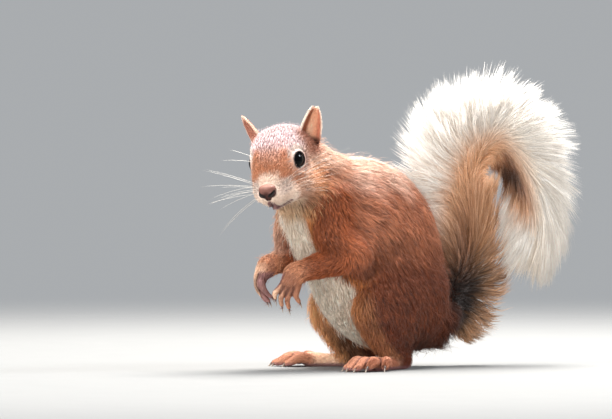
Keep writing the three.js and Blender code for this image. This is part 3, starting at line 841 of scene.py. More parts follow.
class Markings:
    """Colours over the animal, the same for its skin and for the coat that grows on it.

    The thresholds are millimetres in the layout, or in the head's frame on the head.
    """

    FRONT_LINE = ((22, 42, 56, 78, 90, 102, 114, 122), (12, 10, 2, -8, -27, -43, -50, -60))
    SHIN_LINE = ((5, 9, 18, 30, 45), (-3.0, -6.0, -15.0, -24.0, -27.0))
    # line of the groove between each thigh and the belly, where painted shade goes
    CREASE = ((-14, 33, 52, 1.6, 2.5, 0), (-8, 31, 62, 1.8, 2.5, 0), (2, 30, 68, 1.6, 2.5, 0),
              (13, 28, 70, 0.8, 2, 0))
    WHITE_HALF = ((13, 19, 27, 39, 52, 77, 95, 108), (-5.0, 3.0, 12.5, 17.5, 17.0, 10.5, 11.0, 12.0))
    DOTS = tuple((x + 0.25 * z, z) for z in (0.8, -1.1, -3.0) for x in (-6.2, -8.3, -10.4, -12.5))
    EAR_LOBE = (-41, 14.5, 8.5)
    EAR_SPLIT = (-45, 0, 5)  # between the ears

    def __init__(self, plan: BodyPlan) -> None:
        """Keeps the plan that the markings follow."""
        self.plan = plan

    def colours(self, points: Array, region: Array) -> Array:
        """Linear colours at places on the skin.

        Args:
            points: places in the layout
            region: region of each place

        Returns:
            A linear colour for each place.
        """
        where = {part: region == part.value for part in Region}
        out = self.body(points, where)
        share = np.where(where[Region.HEAD], 1.0, 0.0)
        beside = where[Region.NECK] | where[Region.TRUNK]
        off_skull = self.plan.skull.distance(points[beside]) + ripple(points[beside], 5, 19)
        share[beside] = smooth(7, 0, off_skull) * 0.9
        head = share > 0
        if head.any():
            out[head] = mix(out[head], self.head(points[head]), share[head])
        split = HEAD.out(self.EAR_SPLIT)[1]
        for s in SIDES.values():
            own = where[Region.EAR] & (points[:, 1] * s > split * s)
            if own.any():
                out[own] = self.ear(points[own], s)
        return out

    @staticmethod
    def nape(points: Array) -> Array:
        """How much a place belongs to the loose pale hair behind the ears."""
        x, _, z = points.T
        return smooth(112, 122, z) * smooth(-56, -50, x) * smooth(-28, -40, x)

    def lit_shin(self, points: Array) -> Array:
        """How near places are to the front of the legs, most on the animal's right, whose front is painted as
        rim-lit.
        """
        line = np.interp(points[:, 2], *self.SHIN_LINE)
        return smooth(9, 3, points[:, 0] - line) * (0.3 + 0.7 * smooth(-5, 5, points[:, 1]))

    def body(self, points: Array, where: dict[Region, Array]) -> Array:
        """Colours of the trunk and the limbs.

        Args:
            points: places in the layout
            where: places of each region, as true or false

        Returns:
            A linear colour for each place.
        """
        x, y, z = points.T
        rough = ripple(points, 9, 11) * 2.0 + ripple(points, 3.2, 12)
        line = np.interp(z, *self.FRONT_LINE)
        paint = Paint("russet", len(points))
        # paler toward the top of the back: partly its own colour, partly a painted highlight
        paint.lay("ridge", 0.85 * smooth(0, 30, x - line) * smooth(97, 114, z + rough * 2))
        # darker toward the bottom of the rear flank: partly its own brown, partly painted shade
        paint.lay("haunch_and_shade", smooth(88, 54, z + rough * 1.5) * smooth(-34, -8, x + (70 - z) * 0.3) * 0.9)
        # painted shade low on the rear of the body
        paint.lay("under", smooth(30, 16, z + rough) * smooth(-8, 14, x) * 0.7)
        # painted shade in the groove at the front of each thigh
        for s in SIDES.values():
            crease_shade = Limb(Region.THIGH, mirrored(self.CREASE, s)).distance(points)
            paint.lay("under", smooth(2.2, -0.6, crease_shade + rough * 0.5) * 0.75)
        paint.lay("border", where[Region.THIGH] * smooth(-17, -30, x + rough) * smooth(24, 36, z) * 0.6)
        paint.lay("haunch_and_shade", where[Region.SHANK] * 0.6)
        legs = where[Region.THIGH] | where[Region.SHANK]
        # painted rim light down the front of the legs, strongest on the animal's right
        paint.lay("lit_shin", legs * self.lit_shin(points) * smooth(60, 46, z) * 0.9)
        # painted shade on the inner sides of the legs, low between them
        paint.lay("under", legs * smooth(23, 17, np.abs(y) + rough) * smooth(34, 20, z) * 0.8)
        fore = where[Region.ARM] | where[Region.HAND]
        paint.lay("shoulder", fore * 0.8 * smooth(-20, -40, x + rough * 2))
        paint.lay("arm", fore * smooth(-32, -44, x))
        paint.lay("wrist", fore * smooth(-50, -60, x + rough))
        paint.lay("ruff", smooth(-48, -56, x + rough) * smooth(62, 70, z) * smooth(6, 14, y) * 0.6)
        core = where[Region.TRUNK] | where[Region.NECK]
        inner = where[Region.THIGH] * smooth(15, 11, np.abs(y)) * smooth(3, 9, line - x)
        ahead = np.maximum(smooth(-3, 5, line - x) * core, inner)
        past_white = np.abs(y) + rough * 0.8 - np.interp(z, *self.WHITE_HALF)
        paint.lay("border", ahead * smooth(7.5, 3.5, past_white) * 0.85)
        paint.lay("white", ahead * smooth(1.2, -1.2, past_white))
        paint.lay("throat", ahead * smooth(90, 96, z + rough) * 0.8)
        paint.lay("nape", where[Region.NECK] * smooth(-10, 10, x - line) * 0.6)
        paint.lay("ruff", self.nape(points) * 0.65)
        rear = smooth(30, 46, x + rough * 1.5) * smooth(58, 44, z)
        paint.lay("tail_dark", np.maximum(where[Region.TAIL] * 0.9, rear * 0.85))
        self.hands(paint, points, where[Region.HAND])
        self.feet(paint, points, where[Region.FOOT])
        # painted shade between neighbouring digits
        for limb in self.plan.digits:
            part = Region.FOOT if limb.startswith("foot") else Region.HAND
            own = np.flatnonzero(where[part] & (points[:, 1] * SIDES[limb[-1]] > 0))
            share = np.zeros(len(points))
            if len(own):
                share[own] = self.crevices(points[own], limb) * 0.85
            paint.lay("crevice_shade", share)
        return paint.colours

    def hands(self, paint: Paint, points: Array, hand: Array) -> None:
        """Adds the hands and their palms.

        Args:
            paint: the colours to add to
            points: places in the layout
            hand: true on the hands
        """
        paint.lay("hand", hand * 1.0)
        paint.lay("foot", hand * smooth(-66, -72, points[:, 0]) * 0.8)
        for tag, s in SIDES.items():
            palm = np.array(self.plan.PALM[tag])[1:, :3].mean(0)
            inward = unit(np.cross(self.plan.KNUCKLES[tag], (0, 0, -1)))
            inward = unit(inward * np.sign(inward[0]) - np.array([0, 0.9 * s, 0]))
            own = hand & (points[:, 1] * s > 0) & (points[:, 2] < 57)
            depth = (points - palm) @ inward
            paint.lay("pad", own * smooth(-0.4, 1.0, depth) * 0.9)
            fold = np.abs(depth - 0.2 + ripple(points, 3, 41) * 0.8)
            paint.lay("ear_notch", own * smooth(0.7, 0.1, fold) * 0.75)
            cushions = smooth(0.25, 0.6, np.abs(ripple(points, 2.4, 43)))
            paint.lay("fold", own * smooth(0.6, 1.6, depth) * cushions * 0.6)

    def feet(self, paint: Paint, points: Array, foot: Array) -> None:
        """Adds the feet, their toes and their pads.

        Args:
            paint: the colours to add to
            points: places in the layout
            foot: true on the feet
        """
        x = points[:, 0]
        # pale top of the feet, partly their own colour and partly a painted highlight
        paint.lay("foot", foot * 1.0)
        paint.lay("haunch_and_shade", foot * smooth(-8, 4, x + ripple(points, 4, 17) * 2))
        for s in SIDES.values():
            aside = (points - self.plan.foot_point(s, 0, 0, 0)) @ self.plan.along_foot(s)[1]
            own = foot & (points[:, 1] * s > 0)
            paint.lay("toe", own * smooth(-1.0, 3.0, aside) * smooth(2, -4, x))
        paint.lay("toe", foot * smooth(-19, -28, x + ripple(points, 4, 19) * 2) * 0.9)
        paint.lay("pad", foot * smooth(3.0, 1.4, points[:, 2] + ripple(points, 3, 18) * 0.4) * 0.85)

    def crevices(self, points: Array, limb: str) -> Array:
        """How much places lie between two neighbouring digits of a hand or foot, where shade is painted."""
        near = np.sort([digit.distance(points) for digit in self.plan.digits[limb].limbs()], axis=0)
        return smooth(1.7, 0.2, near[1] - near[0]) * smooth(3.0, 1.0, near[0])

    def head(self, points: Array) -> Array:
        """Colours of the head.

        Args:
            points: places in the layout

        Returns:
            A linear colour for each place.
        """
        place = HEAD.into(points)
        x, y, z = place[:, 0], np.abs(place[:, 1]), place[:, 2]
        rough = ripple(points, 5, 21) * 1.4 + ripple(points, 2, 22) * 0.8
        paint = Paint("cheek", len(points))
        paint.lay("jaw_side", 0.85 * smooth(0, -9, z + rough) * smooth(-20, -30, x))
        paint.lay("crown", smooth(-8, -23, x + rough + 0.1 * y) * smooth(5, 13, z + rough))
        paint.lay("temple", smooth(-3, 4, z + rough) * smooth(-29, -34, x) * smooth(11, 14.5, y) * 0.85)
        lobe = np.linalg.norm(np.stack([x, y, z], 1) - self.EAR_LOBE, axis=1)
        paint.lay("ear_front", smooth(11.5, 5, lobe + rough) * 0.85)
        between = smooth(-27, -9.5, x - rough * 1.6) * smooth(-7.0, -11.5, x + rough)
        paint.lay("band", between * smooth(-1, 3.5, z + rough * 0.6) * smooth(15, 11, y))
        cheekbone = smooth(-24, -19, x) * smooth(-11.5, -14.5, x + rough) * smooth(4, 8, y)
        paint.lay("band", 0.75 * cheekbone * smooth(-5.5, -2, z + rough * 0.5))
        paint.lay("muzzle", smooth(-12.5, -7.5, x + rough * 0.7 + smooth(2, -4, z) * 3))
        pad = np.hypot(np.hypot((x + 9) / 1.6, z + 1), y - 8)
        paint.lay("whisker_pad", smooth(5.5, 2.0, pad + rough * 0.5) * 0.8)
        under = smooth(-9, -13, z + rough * 0.5) * smooth(11, 7, y + rough)
        paint.lay("white", under * smooth(-9, -14, x))
        paint.lay("throat", under * smooth(-15, -21, x) * 0.6)
        paint.lay("chin", smooth(-8, -10, z) * smooth(-13, -9, x))
        for s in SIDES.values():
            self.face(paint, points, place, rough, s)
        return paint.colours

    def face(self, paint: Paint, points: Array, place: Array, rough: Array, s: int) -> None:
        """Adds one side's eye ring, lids, lips and whisker dots.

        Args:
            paint: the colours to add to
            points: places in the layout
            place: the same in the head's frame
            rough: noise that frays the edges
            s: -1 for the left, 1 for the right
        """
        local = self.plan.eye.local(points, s)
        across = self.plan.eye.rim(local)[0]
        facing = local[:, 0] > -1.5
        above = smooth(-3, 3, local[:, 2])
        broad = across + rough * 0.2 + 0.5 * (1 - above)
        front = 0.35 + 0.65 * smooth(-18.5, -23.0, place[:, 0])
        paint.lay("ring", facing * smooth(2.6, 1.4, broad) * (0.5 + 0.4 * above) * front)
        paint.lay("fold", facing * smooth(1.3, 0.4, np.abs(across - 1.5)) * (1 - above) * 0.7)
        paint.lay("lid", facing * smooth(0.66, 0.30, across))
        paint.lay("lip", smooth(0.6, 0.0, self.plan.lips(s, 2.0).distance(points) + rough * 0.1))
        paint.lay("mouth", smooth(0.4, 0.0, self.plan.lips(s, 0.5).distance(points)) * 0.9)
        for a, c in self.DOTS:
            near = np.hypot(place[:, 0] - a, place[:, 2] - c)
            own = place[:, 1] * -s > 1.5
            paint.lay("freckle", own * smooth(0.8, 0.4, near) * 0.45)

    def ear(self, points: Array, s: int) -> Array:
        """Colours of one ear, its inside, its back and its rim, the near ear's inside painted as glowing with
        light from behind and the far ear's painted in shade.

        Args:
            points: places in the layout
            s: -1 for the left, 1 for the right

        Returns:
            A linear colour for each place.
        """
        across, _, height = self.plan.ear.local(points, s).T
        inner = self.plan.ear.limb(s, 0.0).distance(points) < 0
        rough = ripple(points, 4, 31) * 0.12
        lit = s < 0  # the ear on the lit side glows
        paint = Paint("ear_back", len(points))
        # painted light: the lit ear's inside glows, the other ear's inside is painted in shade
        paint.lay("ear_inside" if lit else "ear_shade", inner * 1.0)
        if lit:
            # painted glow, brightest in the middle of the lit ear and redder toward its sides
            paint.lay("ear_glow", inner * smooth(0.5, 0.1, np.hypot(across, (height - 0.45) * 1.8)) * 0.8)
            paint.lay("ear_red", inner * smooth(0.5, 0.85, np.abs(across) + rough) * 0.7)
        paint.lay("ear_front", inner * smooth(0.1, 0.5, across * s + rough))
        paint.lay("ear_notch", inner * smooth(0.34, 0.16, height + rough))
        rim = smooth(0.89, 0.99, np.maximum(np.abs(across), height) + rough * 0.3) * smooth(0.2, 0.45, height)
        paint.lay("ear_rim", rim if lit else rim * 0.45)
        return paint.colours


# ---- pieces
class Placing:
    """Moves the layout to the row frame, by where the eyes are."""

    PACKED_EYE = (-24.8, 13.9, 7.0)  # middle of a packed eye, in the head's frame

    def __init__(self) -> None:
        """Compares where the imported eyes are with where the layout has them."""
        shifts = []
        for tag, s in SIDES.items():
            low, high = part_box(f"eye_{tag}")
            x, y, z = self.PACKED_EYE
            shifts.append(np.array((low + high) / 2) / MM - HEAD.out([x, -s * y, z]))
        self.shift = np.mean(shifts, axis=0) * np.array([1, 1, 0])
        log.info("layout to row frame: %s mm", self.shift.round(3))

    def out(self, points: Array) -> Array:
        """Places of the layout in the row frame, in metres."""
        return (points + self.shift) * MM


@dataclass
class Piece:
    """A mesh in the making: places in the layout, faces, and what its corners carry.

    Attributes:
        name: name of the piece
        points: places in the layout
        faces: arrays of corners, one for each count of sides
        slot: the record's slot, not used
        colours: a linear colour for each point
        uv: a place on the map for each point
    """

    name: str
    points: Array
    faces: list[Array]
    slot: str
    colours: Array
    uv: Array | None = None

    def build(self, placing: Placing, material: Material) -> Object:
        """Makes the object.

        Args:
            placing: moves it to the row frame
            material: its finish

        Returns:
            The object, riding on the body.
        """
        mesh = bpy.data.meshes.new(self.name)
        mesh.vertices.add(len(self.points))
        mesh.vertices.foreach_set("co", placing.out(self.points).astype(np.float32).ravel())
        corners = np.concatenate([part.ravel() for part in self.faces]).astype(np.int32)
        sides = np.concatenate([np.full(len(part), part.shape[1]) for part in self.faces])
        mesh.loops.add(len(corners))
        mesh.loops.foreach_set("vertex_index", corners)
        mesh.polygons.add(len(sides))
        mesh.polygons.foreach_set("loop_start", (np.cumsum(sides) - sides).astype(np.int32))
        mesh.polygons.foreach_set("use_smooth", np.ones(len(sides), bool))
        mesh.update(calc_edges=True)
        layer = mesh.color_attributes.new(COLOUR, "FLOAT_COLOR", "POINT")
        opaque = np.c_[self.colours, np.ones(len(self.points))]
        layer.data.foreach_set("color", opaque.astype(np.float32).ravel())
        if self.uv is not None:
            layer = mesh.uv_layers.new(name=UV_NAME)
            layer.data.foreach_set("uv", self.uv[corners].astype(np.float32).ravel())
        mesh.materials.append(material)
        made = bpy.data.objects.new(self.name, mesh)
        bpy.context.scene.collection.objects.link(made)
        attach(made, "root")
        return made


def unwrap(made: Object) -> None:
    """Gives an object the map of its own shape.

    Args:
        made: the object
    """
    made.data.uv_layers.new(name=UV_NAME)
    bpy.context.view_layer.objects.active = made
    bpy.ops.object.select_all(action="DESELECT")
    made.select_set(True)
    bpy.ops.object.mode_set(mode="EDIT")
    bpy.ops.mesh.select_all(action="SELECT")
    bpy.ops.uv.smart_project(angle_limit=math.radians(70), island_margin=0.0015)
    bpy.ops.object.mode_set(mode="OBJECT")


@dataclass(frozen=True)
class Mesher:
    """Turns a distance into a surface, working only where the surface is near.

    Attributes:
        low: lowest corner of the room it looks at
        high: highest corner
        voxel: size of its steps
        evenness: how far flat stretches are merged into larger faces
    """

    BLOCK = 4  # voxels along a block, the unit of the first rough look
    BATCH = 400_000  # blocks looked at together
    FINE_BATCH = 8000  # blocks near the surface looked at together

    low: Row
    high: Row
    voxel: float
    evenness: float = 0.0

    def surface(self, distance: Callable[[Array], Array]) -> tuple[Array, list[Array]]:
        """Points and faces of the surface where the distance is zero.

        Args:
            distance: tells how far places are from the surface, below zero inside

        Returns:
            The points, and the triangles and quads.
        """
        block = self.BLOCK
        size = self.voxel * block
        low = np.array(self.low, float)
        count = np.ceil((np.array(self.high) - low) / size).astype(int)
        blocks = np.stack(np.meshgrid(*(np.arange(n) for n in count), indexing="ij"), -1).reshape(-1, 3)
        coarse = np.concatenate([
            distance(low + (blocks[i : i + self.BATCH] + 0.5) * size - self.voxel / 2)
            for i in range(0, len(blocks), self.BATCH)
        ])
        dense = np.clip(coarse, -3, 3).astype(np.float32).reshape(*count, 1, 1, 1)
        dense = np.broadcast_to(dense, (*count, block, block, block)).copy()
        near = np.flatnonzero(np.abs(coarse) < size * 1.3 + 0.4)
        steps = np.stack(np.meshgrid(*[np.arange(block)] * 3, indexing="ij"), -1).reshape(-1, 3)
        flat = dense.reshape(-1, block**3)
        for i in range(0, len(near), self.FINE_BATCH):
            some = near[i : i + self.FINE_BATCH]
            places = low + (blocks[some][:, None] * block + steps) * self.voxel
            flat[some] = distance(places.reshape(-1, 3)).reshape(len(some), -1)
        dense = dense.transpose(0, 3, 1, 4, 2, 5).reshape(*(count * block))
        grid = openvdb.FloatGrid(3.0)
        grid.copyFromArray(np.ascontiguousarray(dense), tolerance=0.0)
        points, tris, quads = grid.convertToPolygons(0.0, self.evenness)
        places = low + np.asarray(points, float) * self.voxel
        faces = [part.astype(int) for part in (tris, quads) if len(part)]
        return places, outward(places, faces)


def triangles(faces: Sequence[Array]) -> tuple[Array, Array]:
    """Splits faces into triangles, with the numbers of their loops.

    Args:
        faces: arrays of corners, one for each count of sides

    Returns:
        Corners of each triangle, and the numbers of the loops they come from.
    """
    corners, loops, start = [], [], 0
    for part in faces:
        n = part.shape[1]
        index = start + np.arange(part.size).reshape(part.shape)
        for k in range(1, n - 1):
            corners.append(part[:, [0, k, k + 1]])
            loops.append(index[:, [0, k, k + 1]])
        start += part.size
    return np.concatenate(corners), np.concatenate(loops)


def volume(points: Array, faces: Sequence[Array]) -> float:
    """Volume inside the faces, below zero where they point inward."""
    a, b, c = points[triangles(faces)[0]].transpose(1, 0, 2)
    return float(np.einsum("ij,ij->i", a, np.cross(b, c)).sum() / 6)


def outward(points: Array, faces: list[Array]) -> list[Array]:
    """The faces, all turned over if they point inward."""
    return [part[:, ::-1] for part in faces] if volume(points, faces) < 0 else faces


def closed_tube(rings: int, sides: int) -> list[Array]:
    """Faces of a tube of rings that ends in two more points, the first ring's and then the last ring's.

    Args:
        rings: rings of points along the tube
        sides: points in a ring

    Returns:
        Triangles and quads.
    """
    end = (rings - 1) * sides
    tris = [(end + sides, (k + 1) % sides, k) for k in range(sides)]
    tris += [(end + sides + 1, end + k, end + (k + 1) % sides) for k in range(sides)]
    quads = []
    for i, k in np.ndindex(rings - 1, sides):
        here, after = i * sides + k, i * sides + (k + 1) % sides
        quads.append((here, after, after + sides, here + sides))
    return [np.array(tris), np.array(quads)]


# ---- shaders
class Wire:
    """A node's output, with arithmetic that adds Math nodes."""

    def __init__(self, tree: "Tree", socket: NodeSocket) -> None:
        """Keeps the socket and the tree it belongs to."""
        self.tree, self.socket = tree, socket

    def math(self, operation: str, *values: "Wire | float") -> "Wire":
        """The result of a Math node."""
        return self.tree.node("ShaderNodeMath", {"operation": operation}, dict(enumerate(values)))

    def __add__(self, other: "Wire | float") -> "Wire":
        """Sum."""
        return self.math("ADD", self, other)

    def __radd__(self, other: float) -> "Wire":
        """Sum, from the right."""
        return self.math("ADD", other, self)

    def __sub__(self, other: "Wire | float") -> "Wire":
        """Difference."""
        return self.math("SUBTRACT", self, other)

    def __rsub__(self, other: float) -> "Wire":
        """Difference, from the right."""
        return self.math("SUBTRACT", other, self)

    def __mul__(self, other: "Wire | float") -> "Wire":
        """Product."""
        return self.math("MULTIPLY", self, other)

    def __rmul__(self, other: float) -> "Wire":
        """Product, from the right."""
        return self.math("MULTIPLY", other, self)


Value = Wire | float | int | Sequence


class Tree:
    """The nodes of one material."""

    def __init__(self, name: str) -> None:
        """Starts a material with only its surface shader.

        Args:
            name: name of the material
        """
        self.material = bpy.data.materials.new(name)
        self.material.use_nodes = True
        self.nodes = self.material.node_tree.nodes
        self.shader = self.nodes["Principled BSDF"]

    @staticmethod
    def find(sockets: Sequence[NodeSocket], key: int | str) -> NodeSocket:
        """A socket by its number or name, or by its identifier where several share the name."""
        return next((socket for socket in sockets if socket.identifier == key), None) or sockets[key]

    def join(self, node: Node, values: dict[str | int, Value]) -> None:
        """Sets a node's sockets to numbers, colours or links.

        Args:
            node: the node
            values: what each socket gets
        """
        for key, value in values.items():
            socket = self.find(node.inputs, key)
            if isinstance(value, Wire):
                self.material.node_tree.links.new(value.socket, socket)
            elif socket.type == "RGBA":
                socket.default_value = (*tuple(value)[:3], 1.0)
            else:
                socket.default_value = value

    def node(
        self, kind: str, settings: dict | None = None, values: dict | None = None, out: int | str = 0
    ) -> Wire:
        """Adds a node.

        Args:
            kind: its type
            settings: what is set before its sockets
            values: numbers, colours or links of its sockets
            out: the output wanted

        Returns:
            The output, ready for arithmetic.
        """
        made = self.nodes.new(kind)
        for key, value in (settings or {}).items():
            setattr(made, key, value)
        self.join(made, values or {})
        return Wire(self, self.find(made.outputs, out))

    def noise(self, place: Value, scale: float, detail: float = 2.0) -> Wire:
        """Soft noise from 0 to 1."""
        values = {"Vector": place, "Scale": scale, "Detail": detail}
        return self.node("ShaderNodeTexNoise", None, values, "Fac")

    def place(self, stretch: Row = (1.0, 1.0, 1.0)) -> Wire:
        """The object's own coordinates, stretched."""
        raw = self.node("ShaderNodeTexCoord", out="Object")
        return self.node("ShaderNodeVectorMath", {"operation": "MULTIPLY"}, {0: raw, 1: stretch})

    def painted(self) -> Wire:
        """The colours that the mesh carries."""
        return self.node("ShaderNodeVertexColor", {"layer_name": COLOUR}, out="Color")

    def blend(self, share: Value, a: Value, b: Value, how: str = "MIX") -> Wire:
        """Mixes two colours.

        Args:
            share: how much of the second
            a: the first
            b: the second
            how: the way they blend

        Returns:
            The blended colour.
        """
        settings = {"data_type": "RGBA", "blend_type": how, "clamp_factor": True}
        values = {"Factor_Float": share, "A_Color": a, "B_Color": b}
        return self.node("ShaderNodeMix", settings, values, "Result_Color")

    def tinted(self, base: Wire, tint: Row) -> Wire:
        """A colour multiplied by a tint."""
        return self.blend(1.0, base, tint, "MULTIPLY")

    def bump(self, height: Wire, strength: float, depth: float) -> Wire:
        """Raises the surface by a height from 0 to 1."""
        values = {"Height": height, "Strength": strength, "Distance": depth}
        return self.node("ShaderNodeBump", None, values, "Normal")

    def finish(self, **values: Value) -> Material:
        """Sets the surface shader's sockets, named with _ for a space, and returns the material."""
        self.join(self.shader, {key.replace("_", " "): value for key, value in values.items()})
        return self.material


@dataclass(frozen=True)
class FurFinish:
    """Hair: the painted colours, streaked and dull, with a little sheen and a faint glow of their own colour
    as painted light.
    """

    name: str
    roughness: float = 0.58
    sheen: float = 0.14
    # emission of the painted colour: painted light that lifts hair in shade as if light passed through it
    glow: float = 0.055
    streak: float = 0.16
    grain: float = 900.0

    def material(self) -> Material:
        """Makes the material.

        Returns:
            The material.
        """
        tree = Tree(self.name)
        grain = tree.noise(tree.place(), self.grain)
        base = tree.painted()
        light = tree.tinted(base, (1 + self.streak,) * 3)
        dark = tree.tinted(base, (1 - self.streak,) * 3)
        colour = tree.blend(grain, dark, light)
        rough = grain * 0.12 + (self.roughness - 0.06)
        return tree.finish(Base_Color=colour, Roughness=rough, Sheen_Weight=self.sheen, Sheen_Roughness=0.5,
                           Sheen_Tint=(1.0, 0.93, 0.88), Specular_IOR_Level=0.3, Emission_Color=base,
                           Emission_Strength=self.glow)


@dataclass(frozen=True)
class HideFinish:
    """Skin and its short flat hair: painted, with fine hair as relief and a faint glow of the painted colour
    as painted light.
    """

    name: str
    roughness: float = 0.66
    relief: float = 0.35

    def material(self) -> Material:
        """Makes the material.

        Returns:
            The material.
        """
        tree = Tree(self.name)
        fine = tree.noise(tree.place((1, 1, 0.45)), 1500.0, 3.0)
        broad = tree.noise(tree.place(), 380.0)
        base = tree.painted()
        dark = tree.tinted(base, (0.74, 0.70, 0.68))
        colour = tree.blend(fine * 0.6 + broad * 0.4, dark, base)
        normal = tree.bump(fine * 0.7 + broad * 0.3, self.relief, 0.0004)
        # the emission is painted light, brightening the ears and the thinly haired face as if light shone
        # through them
        return tree.finish(Base_Color=colour, Roughness=fine * 0.15 + (self.roughness - 0.07), Normal=normal,
                           Sheen_Weight=0.08, Sheen_Roughness=0.5, Specular_IOR_Level=0.3,
                           Emission_Color=base, Emission_Strength=0.12)


@dataclass(frozen=True)
class EyeFinish:
    """A wet, nearly black eye."""

    name: str = "wet_eye"
    roughness: float = 0.04

    def material(self) -> Material:
        """Makes the material.

        Returns:
            The material.
        """
        tree = Tree(self.name)
        flecks = tree.noise(tree.place(), 2200.0)
        colour = tree.blend(flecks * 0.5, tree.painted(), linear(8, 6, 6))
        rough = flecks * 0.02 + self.roughness
        return tree.finish(Base_Color=colour, Roughness=rough, Specular_IOR_Level=0.10)


@dataclass(frozen=True)
class NoseFinish:
    """Damp pebbled skin of the nose pad."""

    name: str = "nose_leather"
    roughness: float = 0.42

    def material(self) -> Material:
        """Makes the material.

        Returns:
            The material.
        """
        tree = Tree(self.name)
        pebbles = tree.node("ShaderNodeTexVoronoi", {"feature": "DISTANCE_TO_EDGE"},
                            {"Vector": tree.place(), "Scale": 2400.0}, "Distance")
        mottle = tree.noise(tree.place(), 700.0)
        base = tree.painted()
        colour = tree.blend(mottle, tree.tinted(base, (0.72, 0.66, 0.66)), base)
        return tree.finish(Base_Color=colour, Roughness=self.roughness + mottle * 0.15, Coat_Weight=0.06,
                           Specular_IOR_Level=0.25, Normal=tree.bump(pebbles, 0.35, 0.00025))


@dataclass(frozen=True)
class HornFinish:
    """Claws and whiskers: painted horn, smooth and half glossy."""

    name: str
    roughness: float = 0.32

    def material(self) -> Material:
        """Makes the material.

        Returns:
            The material.
        """
        tree = Tree(self.name)
        grain = tree.noise(tree.place((1, 1, 0.3)), 2600.0)
        base = tree.painted()
        colour = tree.blend(grain, tree.tinted(base, (0.8, 0.78, 0.76)), base)
        return tree.finish(Base_Color=colour, Roughness=self.roughness + grain * 0.1,
                           Normal=tree.bump(grain, 0.15, 0.0001))


# ---- skin
class Skin:
    """The one skin of the whole animal, from nose to the core of the tail."""

    VOXEL = 0.5
    QUICK_VOXEL = 0.8
    THROWS = 2.2  # places tried for each one kept

    def __init__(self, plan: BodyPlan, markings: Markings) -> None:
        """Keeps the plan and the markings."""
        self.plan, self.markings = plan, markings

    def build(self, placing: Placing) -> Object:
        """Makes the skin and its map, and keeps what the coat needs.

        Args:
            placing: moves pieces to the row frame

        Returns:
            The skin.
        """
        voxel = self.VOXEL
        mesher = Mesher((-93, -48, -4 * voxel), (112, 49, 152), voxel, 0.02)
        self.points, self.faces = mesher.surface(self.plan.skin)
        region, _, coat = self.plan.at(self.points)
        # painted shade darkens the skin where the coat over it is deep
        colours = self.markings.colours(self.points, region) * self.depth(coat)[:, None]
        piece = Piece("skin", self.points, self.faces, "coat", colours)
        made = piece.build(placing, HideFinish("hide").material())
        unwrap(made)
        loops = np.zeros(len(made.data.loops) * 2, np.float32)
        made.data.uv_layers[UV_NAME].data.foreach_get("uv", loops)
        normals = np.zeros(len(self.points) * 3, np.float32)
        made.data.vertices.foreach_get("normal", normals)
        self.normals = normals.reshape(-1, 3)
        self.corners, numbers = triangles(self.faces)
        self.corner_uv = loops.reshape(-1, 2)[numbers]
        self.corner_region = self.plan.at(self.points[self.corners].mean(1))[0]
        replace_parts(made, *self.nodes())
        return made

    @staticmethod
    def depth(coat: Array) -> Array:
        """How dark the skin is under the coat: painted shade, darker where the coat is deeper."""
        return 1 - 0.35 * smooth(0.8, 3.0, coat)

    @staticmethod
    def nodes() -> list[str]:
        """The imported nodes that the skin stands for."""
        paired = ("ear", "upper_arm", "forearm", "hand", "thigh", "shank", "foot")
        return ["head", "neck", "trunk", *(f"{part}_{tag}" for part in paired for tag in SIDES)]

    def roots(self, spacing: float, seed: int, regions: Sequence[Region]) -> "Roots":
        """Places spread over the skin, about one for each square of the spacing.

        Args:
            spacing: millimetres between neighbours
            seed: picks the places
            regions: where they are wanted

        Returns:
            The places, and what the animal is like there.
        """
        rng = np.random.default_rng(seed)
        keep = np.isin(self.corner_region, [region.value for region in regions])
        corners, uv = self.corners[keep], self.corner_uv[keep]
        a, b, c = self.points[corners].transpose(1, 0, 2)
        area = np.linalg.norm(np.cross(b - a, c - a), axis=1) / 2
        count = int(area.sum() / spacing**2 * self.THROWS)
        pick = rng.choice(len(area), count, p=area / area.sum())
        r, t = np.sqrt(rng.random(count)), rng.random(count)
        share = np.stack([1 - r, r * (1 - t), r * t], 1)[:, :, None]
        place = (self.points[corners[pick]] * share).sum(1)
        first = np.unique(cells(place + rng.random(3) * spacing, spacing), return_index=True)[1]
        rng.shuffle(first)
        place, pick, share = place[first], pick[first], share[first]
        normal = unit((self.normals[corners[pick]] * share).sum(1))
        return Roots(place, normal, (uv[pick] * share).sum(1), *self.plan.at(place))


@dataclass
class Roots:
    """Where tufts grow: places, normals, places on the map, and region, way and depth of the coat."""

    place: Array
    normal: Array
    uv: Array
    region: Array
    way: Array
    coat: Array

    def kept(self, keep: Array) -> "Roots":
        """Those for which keep is true."""
        return Roots(*(getattr(self, row.name)[keep] for row in fields(self)))


# ---- coat
def spikes(path: Array, across: Array, ridge: Array, width: Array, taper: Row) -> tuple[Array, list[Array]]:
    """Closed three-sided spikes along paths.

    Args:
        path: points of each spike from root to tip
        across: direction of the width of each
        ridge: direction of the ridge of each
        width: half width of each at its widest
        taper: share of the width at every point before the tip

    Returns:
        Points, one spike after another, and faces.
    """
    count, steps = path.shape[:2]
    ring = np.array([[-1.0, -0.25], [1.0, -0.25], [0.0, 0.65]])
    size = width[:, None, None, None] * np.array(taper)[None, :, None, None]
    offset = ring[:, 0][:, None] * across[:, None, None] + ring[:, 1][:, None] * ridge[:, None, None]
    body = path[:, :-1, None] + offset * size
    points = np.concatenate([body.reshape(count, -1, 3), path[:, -1:]], 1)
    each = points.shape[1]
    sides = [(3 * i + j, 3 * i + (j + 1) % 3, 3 * i + 3 + (j + 1) % 3, 3 * i + 3 + j)
             for i in range(steps - 2) for j in range(3)]
    last = 3 * (steps - 2)
    tips = [(0, 2, 1)] + [(last + j, last + (j + 1) % 3, each - 1) for j in range(3)]
    base = (np.arange(count) * each)[:, None, None]
    faces = [(np.array(part)[None] + base).reshape(-1, len(part[0])) for part in (tips, sides)]
    return points.reshape(-1, 3), faces


